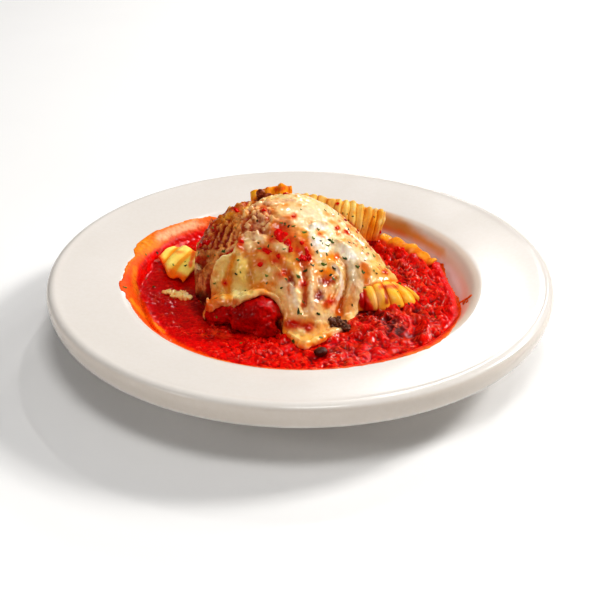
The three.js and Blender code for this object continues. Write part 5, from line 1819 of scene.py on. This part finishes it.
# ---------------------------------------------------------------- building
def build_food():
    solid = []
    v, q, n = make_cheese()
    cheese = mesh("cheese_blanket", v, q, M_CHEESE, paint_cheese(v, n, q))
    finish_piece(cheese, "cheese", "melted_cheese")
    solid.append((v, q, "cheese"))
    v, q, n = make_core()
    core = mesh("filling_body", v, q, M_FILLING, paint_core(v, n, q))
    finish_piece(core, "filling", "meat_filling")
    solid.append((v, q, "core"))
    v, q = make_sauce()
    solid.append((v, q, "sauce"))
    sheets = [
        ("sheet_back", "noodle_back", dict(
            edge=[(-2, 47, 70), (12, 51, 66), (29, 56, 61), (43, 61, 55), (56, 67, 49)],
            inner=[(-4, 40, 52), (10, 42, 48), (25, 45, 42), (39, 50, 36), (51, 57, 31)],
            waves=12, height=1.45, thick=1.9, push=(0.25, -0.7, 0.7), bow=1.5, nu=400, nv=44, seed=300,
            ribs=0.0, start=0.6, ragged=1.7, flare=0.35), paint_back),
        ("sheet_right_edge", "noodle_right_edge", dict(
            edge=[(55, 66.5, 31.5), (66, 57, 32.5), (78, 43, 32), (87, 28, 31.5)],
            inner=[(46, 56, 26.5), (57, 47, 26), (67, 36, 26), (75, 22, 26)],
            waves=4.2, height=0.9, push=(0.1, -0.3, 1), bow=1.0, nu=220, nv=28, seed=320,
            ragged=1.4),
         paint_right),
        ("sheet_right_front", "noodle_right_front", dict(
            edge=[(33, -28.5, 27), (46, -28, 27), (60, -25, 27), (73, -16, 27)],
            inner=[(31, -15, 38), (41, -13, 38.5), (52, -9, 36), (60, -1, 31)],
            waves=5, height=1.5, push=(0.35, -0.75, 0.5), bow=4.2, phase=0.1, nu=220, nv=30,
            ribs=0.9, start=0.55, seed=340), paint_front),
        ("sheet_left", "noodle_left", dict(
            edge=[(-90, 36, 28.6), (-86, 23, 29.6), (-80, 12, 29.6), (-72.5, 7, 28)],
            inner=[(-82, 45, 32), (-75, 42, 34), (-67, 35, 34.5), (-61, 24, 33)],
            waves=2.3, height=1.4, push=(-0.2, -0.1, 1), bow=1.2, phase=0.3, nu=180, nv=34,
            seed=360, start=0.6, ragged=1.3), paint_left),
        ("sheet_back_curl", "noodle_back_curl", dict(
            edge=[(-32, 45, 71.5), (-23, 44, 74.5), (-13, 44, 77.5), (-5, 46, 76)],
            inner=[(-29, 37, 60), (-22, 36, 61), (-14, 37, 62), (-7, 40, 61)],
            waves=3, height=1.7, push=(0, -0.8, 0.5), bow=1.2, nu=150, nv=30, seed=380,
            ragged=1.3, start=0.4), paint_curl),
    ]
    for name, node_name, spec, painter in sheets:
        v, q = sheet_piece(name, node_name, spec, painter)
        solid.append((v, q, name))
    c = 1.0
    solid.append((*blob(
        "meatball_body", "meatball", "meat", M_MEAT,
        [((-25, -44.2, 33.2), (13.6, 11.6, 12.0), 0.25, 0), ((-43, -35, 29.3), (12.2, 8.2, 8.6), 0.5, 0),
         ((-17.5, -49.5, 36.5), (5.6, 4.6, 5.0), 0.2, 0), ((-27.5, -53.0, 36.0), (6.0, 4.2, 5.0), 0, 0),
         ((-34.5, -49.0, 32.5), (6.0, 4.6, 5.4), 0.4, 0), ((-19, -54.0, 29.0), (6.4, 4.4, 5.0), 0.2, 0),
         ((-43, -41.5, 31.5), (5.6, 3.8, 4.4), 0.4, 0), ((-50.5, -36.5, 30.0), (5.0, 3.8, 4.2), 0.6, 0),
         ((-36, -42, 33.0), (6.0, 6.0, 6.0), 0.4, 0), ((-24, -49, 41.0), (7.0, 5.0, 4.2), 0.2, 0)],
        0.58 * c, (150, 6, 4), grain=(4.6, 1.0), fine=(2.2, 0.55), seed=400, painter=paint_ball,
        smooth_k=2.4,
    ), "meatball"))
    solid.append((*blob(
        "crumble_body", "meat_crumble_back", "brown", M_BROWN,
        [((-22.5, 36.5, 68), (4.6, 4.0, 5.0), 0, 0), ((-24.5, 35.6, 74.2), (2.9, 2.6, 3.6), 0.3, 0.2),
         ((-19.2, 35.6, 72.2), (3.2, 2.4, 2.6), -0.4, 0), ((-27, 36.6, 66.5), (2.8, 2.6, 3.6), 0, 0),
         ((-22, 34.6, 70.5), (2.6, 2.2, 2.4), 0, 0)],
        0.4 * c, (120, 60, 26), grain=(2.0, 0.6), fine=(1.2, 0.12), seed=420, smooth_k=1.2,
        painter=mottled((172, 92, 40), (120, 20, 8), (206, 146, 92), 421, 2.4),
    ), "crumble"))
    solid.append((*blob(
        "tomato_body", "tomato_chunk", "tomato", M_TOMATO,
        [((-12.4, -6.4, 66.9), (3.6, 3.4, 2.9), 0.455, 0.32), ((-8.6, -9.4, 66.2), (4.0, 4.2, 3.0), 0.2, 0.32),
         ((-12.0, -11.4, 65.4), (2.6, 3.0, 2.4), 0.8, 0.32), ((-6.9, -14.4, 64.2), (3.0, 3.8, 2.7), 0.5, 0.36),
         ((-5.6, -18.8, 62.4), (2.0, 2.8, 2.2), 0.3, 0.4)],
        0.45 * c, (214, 20, 8), grain=(2.6, 0.6), fine=(1.4, 0.14), seed=440, smooth_k=1.2,
        painter=mottled((236, 24, 10), (206, 8, 3), (246, 70, 26), 441, 3.0),
    ), "tomato"))
    solid.append((*blob(
        "mushroom_front_body", "mushroom_front", "brown", M_BROWN,
        [((18.6, -47.6, 30.8), (3.6, 3.0, 2.6), -0.35, 0), ((23.0, -49.4, 30.2), (3.4, 3.2, 2.9), -0.35, 0.2),
         ((26.6, -51.6, 29.6), (2.4, 2.2, 2.0), 0, 0), ((15.0, -45.2, 32.8), (2.2, 1.7, 1.7), 0.4, 0),
         ((17.0, -48.6, 33.0), (1.8, 1.5, 1.6), 0, 0), ((21.4, -47.0, 32.2), (1.8, 1.6, 1.4), 0.6, 0),
         ((25.0, -48.6, 31.4), (1.7, 1.7, 1.3), 0, 0), ((20.0, -51.4, 28.8), (2.4, 1.5, 1.7), 0, 0)],
        0.38 * c, (84, 50, 30), grain=(1.9, 0.9), fine=(1.0, 0.3), seed=460, smooth_k=0.8,
        painter=mottled((128, 80, 50), (50, 30, 18), (206, 164, 132), 461, 1.4),
    ), "mushroom"))
    solid.append((*blob(
        "mushroom_low_body", "mushroom_low", "brown", M_BROWN,
        [((11.5, -76.5, 28.6), (3.9, 3.3, 2.4), 0.3, 0)],
        0.42 * c, (84, 50, 30), grain=(1.8, 0.4), fine=(1.0, 0.10), seed=480,
        painter=mottled((112, 54, 32), (46, 20, 12), (166, 116, 76), 481, 2.0),
    ), "mushroom"))
    solid.append((*blob(
        "cheese_bit_body", "cheese_bit", "cheese", M_CHEESE,
        [((-78.4, -6.2, 27.5), (4.4, 2.6, 1.3), -0.25, 0), ((-72.4, -9, 27.6), (5.6, 3.4, 1.7), -0.5, 0),
         ((-68.0, -11.8, 27.6), (3.8, 2.0, 1.4), -0.1, 0), ((-76.0, -10.0, 27.3), (3.0, 2.0, 1.2), 0.4, 0),
         ((-82.0, -4.4, 27.2), (2.4, 1.3, 1.0), 0.2, 0)],
        0.42 * c, (250, 214, 150), grain=(2.4, 0.8), fine=(1.6, 0.3), seed=500,
        painter=mottled((253, 226, 164), (246, 150, 40), (255, 240, 208), 501, 3.0),
    ), "cheese"))
    return solid


SOLID = build_food()


# ---------------------------------------------------------------- scattered bits
def all_trees():
    return [(tree_of(v, q), name) for v, q, name in SOLID]


TREES = all_trees()


def hit(origin, direction, only=None):
    best = None
    for tree, name in TREES:
        if only and name not in only:
            continue
        where, nrm, _, dist = tree.ray_cast(Vector(origin), Vector(direction))
        if where is not None and (best is None or dist < best[2]):
            best = (np.array(where), np.array(nrm), dist, name)
    return best


def at_pixel(x, y, only=None):
    return hit(EYE, sight(x, y), only)


def from_above(x, y, only=None):
    return hit((x, y, 100.0), (0, 0, -1), only)


def basis(nrm, turn):
    n = nrm / np.linalg.norm(nrm)
    a = np.cross(n, [0.3, 0.9, 0.1])
    a /= np.linalg.norm(a)
    b = np.cross(n, a)
    c, s = np.cos(turn), np.sin(turn)
    return a * c + b * s, -a * s + b * c, n


def leaf(centre, nrm, turn, length, width, rng, lift=0.12):
    """A curled flake: a torn outline with thickness, bent along its length."""
    e1, e2, n = basis(nrm, turn)
    k = 9
    ang = np.linspace(0, 2 * np.pi, k, endpoint=False)
    rad = 0.5 * (0.42 + 0.85 * rng.random(k))
    px = np.cos(ang) * rad * length
    py = np.sin(ang) * rad * width
    curl = (0.25 + 0.5 * rng.random()) / max(length, 1)
    h = curl * px * px + 0.15 * (rng.random(k) - 0.5)
    t = 0.16
    ring = centre + px[:, None] * e1 + py[:, None] * e2 + (h + lift)[:, None] * n
    top = np.vstack([centre + (lift + t) * n, ring + t * 0.5 * n])
    low = np.vstack([centre + (lift - t) * n, ring - t * 0.5 * n])
    v = np.vstack([top, low])
    i = np.arange(k)
    j = (i + 1) % k
    f = np.vstack(
        [
            np.stack([np.zeros(k, int), i + 1, j + 1], -1),
            np.stack([np.full(k, k + 1), j + k + 2, i + k + 2], -1),
            np.stack([i + 1, i + k + 2, j + 1], -1),
            np.stack([j + 1, i + k + 2, j + k + 2], -1),
        ]
    )
    return v, f


def pebble(centre, nrm, turn, size, rng, sink=0.35, detail=2):
    """A small uneven lump, partly sunk."""
    e1, e2, n = basis(nrm, turn)
    rows, cols = 6, 9
    th = np.linspace(0, np.pi, rows + 1)[1:-1]
    ph = np.arange(cols) * 2 * np.pi / cols
    s = np.stack(
        [
            np.sin(th)[:, None] * np.cos(ph),
            np.sin(th)[:, None] * np.sin(ph),
            np.repeat(np.cos(th)[:, None], cols, 1),
        ],
        -1,
    ).reshape(-1, 3)
    s = np.vstack([[0, 0, 1], s, [0, 0, -1]])
    s = s * (1 + 0.5 * noise(s * 1.5 + rng.random(3) * 40, 1.0, 7))[:, None]
    c = centre + n * size[2] * (1 - 2 * sink)
    v = c + s[:, :1] * size[0] * e1 + s[:, 1:2] * size[1] * e2 + s[:, 2:] * size[2] * n
    f = []
    for j in range(cols):
        k = (j + 1) % cols
        f.append((0, 1 + j, 1 + k))
        for r in range(rows - 2):
            a, b = 1 + r * cols, 1 + (r + 1) * cols
            f.append((a + j, b + j, b + k))
            f.append((a + j, b + k, a + k))
        a = 1 + (rows - 2) * cols
        f.append((len(s) - 1, a + k, a + j))
    return v, np.array(f)


def joined(parts):
    vs, fs, off = [], [], 0
    for v, f in parts:
        vs.append(v)
        fs.append(f + off)
        off += len(v)
    return np.vstack(vs), np.vstack(fs)


HERBS = [  # x, y in the view, length, width, turn
    (281, 223, 2.6, 1.3, 0.4), (285, 224, 2.0, 1.2, 1.2), (288.5, 226, 2.2, 1.2, 2.0),
    (293.5, 226.5, 2.2, 1.6, 0.2), (304, 232.5, 3.0, 1.6, 0.1), (318, 229.5, 2.2, 1.2, 0.5),
    (313, 238, 2.0, 1.4, 0.9), (321, 241, 1.8, 1.1, 0.2), (322.5, 243.5, 1.7, 0.9, 2.2),
    (330, 240.5, 3.6, 2.0, 0.3), (332, 242, 2.2, 1.5, 1.0), (327.5, 245.5, 3.0, 1.6, 0.1),
    (311.5, 245, 1.8, 1.3, 1.3), (317, 252, 2.2, 1.5, 1.4), (326.5, 254, 2.6, 1.2, 1.5),
    (344.5, 258.5, 3.0, 1.8, 0.3), (357, 266.5, 3.6, 1.8, 0.3), (363, 272, 2.2, 1.7, 0.8),
    (297.5, 259, 2.8, 1.8, 1.2), (312, 265, 3.6, 1.5, 0.2), (323.5, 264.5, 3.2, 1.3, 0.6),
    (333.5, 268, 3.2, 1.2, 0.8), (321, 271, 2.2, 1.4, 0.0), (305, 271.5, 3.6, 1.8, 0.1),
    (298, 276.5, 2.6, 2.0, 0.6), (330.5, 275, 2.2, 1.4, 0.2), (333.5, 278.5, 2.8, 1.6, 1.3),
    (266.5, 276, 2.2, 1.4, 0.5), (267, 283.5, 1.7, 1.1, 1.2), (281.5, 288, 2.2, 1.5, 0.4),
    (286, 279, 1.9, 1.2, 1.0), (268.5, 246, 2.0, 1.0, 2.2), (284, 249, 1.8, 1.0, 0.1),
    (259, 248.5, 2.6, 1.2, 0.0), (258.5, 243, 1.5, 1.1, 0.5), (349, 242.5, 1.7, 1.0, 0.2),
    (353.5, 243.5, 1.5, 0.9, 0.9), (325, 210.5, 2.0, 1.4, 0.7), (348.5, 229.5, 1.8, 1.1, 1.0),
    (298.5, 311, 4.6, 1.5, 1.5), (318, 313.5, 2.6, 1.3, 0.5), (352, 305, 1.9, 1.1, 0.8),
    (365, 287.5, 1.6, 0.9, 0.3), (320.5, 337.5, 3.0, 1.7, 0.2), (293.5, 341, 2.6, 1.9, 0.8),
    (399.5, 283, 2.2, 1.1, 0.5), (303, 302, 2.2, 1.3, 0.8), (374, 270.5, 1.8, 1.2, 0.4),
    (387, 268, 2.2, 1.2, 0.5), (373.5, 255.5, 2.6, 1.3, 0.8), (368, 253, 1.7, 1.1, 0.4),
    (364.5, 260.5, 1.2, 0.8, 0.1), (362.5, 251, 1.2, 0.8, 1.0), (376.5, 273.5, 1.5, 0.9, 0.3),
    (379.5, 264.5, 1.1, 0.8, 0.0), (295, 236.5, 1.3, 0.9, 0.6), (272.5, 236.5, 1.4, 1.0, 0.2),
    (236, 274, 2.0, 1.2, 0.5), (240.5, 272.5, 1.3, 0.9, 1.3), (214.5, 283.5, 2.4, 1.1, 0.0),
    (245.5, 291, 1.6, 1.2, 0.4), (238, 260.5, 2.0, 0.9, 0.1), (216, 298.5, 1.8, 1.0, 0.3),
    (217, 317.5, 1.6, 1.2, 1.2), (301, 209.5, 1.2, 0.8, 0.4), (236, 228, 1.5, 1.1, 0.4),
    (257, 220.5, 1.7, 1.2, 1.0), (208, 256, 1.8, 1.1, 0.2), (215, 255.5, 1.6, 1.0, 1.0),
    (223, 251, 3.2, 1.6, 0.2), (241, 343, 1.6, 1.1, 0.2), (185, 266, 2.0, 1.4, 0.2),
    (185, 262, 1.2, 0.8, 0.5), (173, 264.5, 2.0, 0.9, 1.4), (157, 253, 2.0, 1.5, 0.3),
    (213, 228, 1.6, 1.2, 0.4), (199, 252.5, 1.8, 1.2, 0.5), (398, 306, 2.6, 1.4, 0.4),
    (409, 304, 1.8, 1.2, 1.2), (343, 213, 1.5, 1.0, 1.0), (347, 214, 1.4, 1.0, 0.3),
    (366, 247.5, 1.0, 0.8, 0.0), (358, 238, 1.2, 0.8, 0.6), (125, 287.5, 2.6, 1.5, 0.1),
    (153.5, 287, 2.6, 1.5, 1.3), (146.5, 279, 1.6, 1.1, 0.2), (146, 254.5, 1.6, 1.0, 0.8),
    (397.5, 292, 1.0, 0.7, 0.3), (436, 317, 1.6, 1.0, 0.8), (433, 336, 1.4, 1.0, 0.1),
]


def make_herbs():
    rng = np.random.default_rng(5)
    parts, rgb = [], []
    greens = [(96, 122, 42), (122, 142, 50), (74, 94, 38), (148, 154, 74), (66, 84, 28)]

    def add(where, nrm, turn, length, width):
        v, f = leaf(where, nrm, turn, length, width, rng)
        parts.append((v, f))
        c = linear(greens[int(rng.integers(len(greens)))]) * (0.8 + 0.5 * rng.random())
        rgb.append(np.tile(c, (len(v), 1)))

    for x, y, length, width, turn in HERBS:
        h = at_pixel(x, y)
        if h is None:
            continue
        # the turn is as seen: lay the length along the matching direction on the surface
        want = RIGHT * np.cos(turn) - UP * np.sin(turn)
        n = h[1] / np.linalg.norm(h[1])
        want = want - n * (want @ n)
        e1, e2, _ = basis(n, 0)
        angle = float(np.arctan2(want @ e2, want @ e1))
        add(h[0], n, angle, 0.15 + length, 0.1 + width)
        if length > 1.9:  # a torn side lobe
            side = h[0] + e1 * 0.35 * length * np.cos(angle + 0.5) + e2 * 0.35 * length * np.sin(angle + 0.5)
            add(side, n, angle + 1.2, 0.62 * length, 0.75 * width)
    # the sides that the view doesn't show
    count = 0
    while count < 46:
        x, y = rng.uniform(-60, 62), rng.uniform(8, 66)
        if y < ridge_y(x) + 6:
            continue
        h = from_above(x, y)
        if h is None or h[3] not in ("cheese", "core", "sauce", "sheet_back"):
            continue
        add(h[0], h[1], rng.random() * 6.28, rng.uniform(0.9, 2.2), rng.uniform(0.6, 1.1))
        count += 1
    v, f = joined(parts)
    ob = mesh("herb_flakes", v, f, M_HERB, np.vstack(rgb), shade=False)
    finish_piece(ob, "brown")


FLECKS = [  # x, y in the view, half sizes in mm, turn as seen
    (267.5, 252, 3.0, 1.8, 1.2, 0.5), (265, 250, 1.8, 1.3, 1.0, 0.1), (260.5, 264.5, 2.2, 1.9, 1.0, 1.4),
    (278.5, 256.5, 2.4, 1.4, 0.9, 0.9), (302, 243, 1.6, 1.4, 1.0, 0.9), (306.5, 252, 3.6, 1.4, 1.0, 1.1),
    (303, 258.5, 2.8, 2.2, 1.1, 0.4), (309, 258, 2.2, 1.7, 1.0, 1.2), (305, 284, 2.0, 1.3, 0.9, 1.4),
    (337, 228, 1.4, 1.1, 0.7, 0.2), (294, 216.5, 1.2, 0.9, 0.6, 0.2), (264, 210, 1.5, 1.1, 0.8, 0.2),
    (236.5, 210.5, 2.2, 1.9, 1.8, 0.9), (385, 272, 1.3, 1.0, 0.6, 0.3), (347, 232, 1.4, 0.8, 0.5, 0.6),
    (357, 232.5, 1.2, 0.7, 0.6, 0.6), (380, 232, 1.4, 1.2, 1.0, 0.4), (241.5, 241.5, 1.6, 1.3, 0.8, 0.7),
    (225, 283, 1.1, 0.9, 0.5, 0.2), (338, 203.5, 1.5, 1.0, 0.6, 0.2), (207, 243, 2.4, 1.6, 1.2, 0.2),
    (200, 246, 2.2, 1.4, 1.0, 0.1), (157, 263, 2.4, 1.5, 0.8, 0.2), (345, 231, 0.9, 0.6, 0.4, 0.5),
    (473, 296, 1.7, 1.2, 0.9, -0.5), (218, 334, 1.6, 1.0, 0.8, 0.2), (205, 336, 1.2, 0.8, 0.6, 0.9),
    (228, 332, 1.3, 0.9, 0.7, 0.5), (356, 336, 1.8, 1.3, 1.0, 0.6), (388, 346, 1.7, 1.2, 0.9, 0.2),
    (422, 300, 1.6, 1.1, 0.9, 0.9), (437, 330, 1.5, 1.1, 0.8, 0.1), (396, 250, 1.6, 1.1, 0.9, 0.5),
    (412, 270, 1.5, 1.1, 0.9, 0.3), (260, 346, 1.6, 1.1, 0.9, 0.3), (270, 340, 1.4, 1.0, 0.8, 1.0),
    (341, 344, 1.5, 1.0, 0.8, 0.3), (176, 306, 1.4, 1.0, 0.7, 0.4),
]
STRAND = [(458.5, 304.5), (461, 302.5), (463.5, 301), (466, 299.5), (468.5, 298), (470.5, 296.5), (464.5, 303), (467.5, 301.5)]


def make_flecks():
    rng = np.random.default_rng(9)
    parts, rgb = [], []
    for x, y, a, b, c, turn in FLECKS:
        h = at_pixel(x, y)
        if h is None:
            continue
        n = h[1] / np.linalg.norm(h[1])
        want = RIGHT * np.cos(turn) - UP * np.sin(turn)
        want = want - n * (want @ n)
        e1, e2, _ = basis(n, 0)
        angle = float(np.arctan2(want @ e2, want @ e1))
        for k in range(5):
            off = (rng.random(2) - 0.5) * [1.3 * a, 1.3 * b] * (k > 0)
            c2, s2 = np.cos(angle), np.sin(angle)
            q = h[0] + e1 * (off[0] * c2 - off[1] * s2) + e2 * (off[0] * s2 + off[1] * c2)
            f_s = 0.8 if k == 0 else rng.uniform(0.3, 0.6)
            v, f = pebble(q, n, angle + rng.uniform(-0.6, 0.6), (a * f_s, b * f_s, 0.42 * b * (0.6 + 0.4 * f_s)), rng, 0.36)
            parts.append((v, f))
            rgb.append(np.tile(linear((240, 30, 8)) * (0.8 + 0.3 * rng.random()), (len(v), 1)))
    count = 0
    while count < 20:
        x, y = rng.uniform(-55, 55), rng.uniform(10, 60)
        if y < ridge_y(x) + 6:
            continue
        h = from_above(x, y, ("cheese", "core"))
        if h is None:
            continue
        s = rng.uniform(0.9, 2.4)
        v, f = pebble(h[0], h[1], rng.random() * 6.28, (s, s * rng.uniform(0.5, 0.9), s * 0.5), rng, 0.4)
        parts.append((v, f))
        rgb.append(np.tile(linear((206, 22, 8)) * (0.8 + 0.3 * rng.random()), (len(v), 1)))
        count += 1
    for x, y in STRAND:  # a thread of orange crumbs up the plate's wall
        q = land(x, y, plate_top, 60)
        g = np.array([-q[0], -q[1], 0.0])
        n = g / np.linalg.norm(g) * 0.7 + np.array([0, 0, 0.7])
        size = rng.uniform(1.0, 1.5)
        v, f = pebble(q, n, rng.random() * 6.28, (1.3 * size, 0.8 * size, 0.6), rng, 0.4)
        parts.append((v, f))
        rgb.append(np.tile(linear((236, 120, 30)) * (0.75 + 0.4 * rng.random()), (len(v), 1)))
    v, f = joined(parts)
    ob = mesh("tomato_flecks", v, f, M_TOMATO, np.vstack(rgb))
    finish_piece(ob, "tomato")


make_herbs()
make_flecks()

# ---------------------------------------------------------------- floor, light and camera
def area(name, at, aim, size, energy, colour=(1, 1, 1), size_y=None):
    data = bpy.data.lights.new(name, "AREA")
    data.energy = energy
    data.color = colour
    data.shape = "RECTANGLE"
    data.size = size
    data.size_y = size_y or size
    ob = bpy.data.objects.new(name, data)
    ob.location = at
    ob.rotation_euler = (Vector(aim) - Vector(at)).to_track_quat("-Z", "Y").to_euler()
    bpy.context.scene.collection.objects.link(ob)
    return ob


def make_stage():
    n = 24
    edge = 3.0
    v = [
        (edge * (2 * i / n - 1), edge * (2 * j / n - 1), -0.0004)
        for i in range(n + 1)
        for j in range(n + 1)
    ]
    f = [
        (i * (n + 1) + j, (i + 1) * (n + 1) + j, (i + 1) * (n + 1) + j + 1, i * (n + 1) + j + 1)
        for i in range(n)
        for j in range(n)
    ]
    me = bpy.data.meshes.new("floor")
    me.from_pydata(v, [], f)
    me.update()
    floor = bpy.data.objects.new("floor", me)
    bpy.context.scene.collection.objects.link(floor)
    m, nt, bsdf = new_material("floor_look")
    vec = object_coords(nt)
    soft = noise_node(nt, vec, 6, 3.0, 0.5)
    col = ramp(nt, soft.outputs["Fac"], [(0.3, (0.93, 0.93, 0.93)), (0.7, (0.95, 0.95, 0.95))])
    nt.links.new(col, bsdf.inputs["Base Color"])
    bsdf.inputs["Roughness"].default_value = 0.75
    bsdf.inputs["Specular IOR Level"].default_value = 0.2
    me.materials.append(m)


make_stage()

world = bpy.data.worlds.new("studio")
bpy.context.scene.world = world
world.use_nodes = True
wn = world.node_tree
wn.nodes.clear()
w_out = wn.nodes.new("ShaderNodeOutputWorld")
w_bg = wn.nodes.new("ShaderNodeBackground")
w_bg.inputs["Strength"].default_value = 0.24
w_tc = wn.nodes.new("ShaderNodeTexCoord")
w_sep = wn.nodes.new("ShaderNodeSeparateXYZ")
wn.links.new(w_tc.outputs["Generated"], w_sep.inputs[0])
w_sky = ramp(
    wn, w_sep.outputs["Z"],
    [(0.0, (0.16, 0.155, 0.15)), (0.35, (0.26, 0.25, 0.24)), (0.75, (0.98, 0.97, 0.96)),
     (1.0, (1.0, 0.99, 0.98))],
)
wn.links.new(w_sky, w_bg.inputs["Color"])
wn.links.new(w_bg.outputs[0], w_out.inputs["Surface"])

area("key", (2.0, 0.80, 1.56), (0.0, 0.0, 0.04), 0.56, 51.0, (1.0, 0.98, 0.95))
area("fill", (-1.1, -0.85, 0.85), (0.0, 0.0, 0.04), 0.4, 3.6, (1.0, 0.98, 0.96))
area("top", (0.1, -0.5, 1.3), (0, 0, 0), 0.4, 6.0, (1.0, 0.99, 0.97))
area("window", (0.16, 1.36, 0.66), (0.05, 0.0, 0.04), 0.13, 1.7, (1.0, 0.98, 0.96), 0.1)
area("window_2", (0.62, 1.2, 0.8), (0.05, 0.0, 0.04), 0.05, 1.7, (1.0, 0.98, 0.97), 0.05)
area("window_3", (0.9, 0.9, 1.0), (0.05, 0.0, 0.04), 0.05, 1.7, (1.0, 0.98, 0.97), 0.05)
area("window_4", (0.25, 0.9, 1.15), (0.05, 0.0, 0.04), 0.05, 1.7, (1.0, 0.98, 0.97), 0.05)

cam_data = bpy.data.cameras.new("camera")
cam_data.sensor_width = 36.0
cam_data.lens = 72.0
cam_data.clip_start = 0.01
cam_data.clip_end = 20.0
cam = bpy.data.objects.new("camera", cam_data)
bpy.context.scene.collection.objects.link(cam)
m4 = Matrix.Identity(4)
for row in range(3):
    m4[row][0], m4[row][1], m4[row][2] = RIGHT[row], UP[row], -AHEAD[row]
    m4[row][3] = EYE[row] / 1000.0
cam.matrix_world = m4
bpy.context.scene.camera = cam

view = bpy.context.scene.view_settings
view.view_transform = "Standard"
view.look = "Medium High Contrast"
view.exposure = -0.17
view.gamma = 1.0
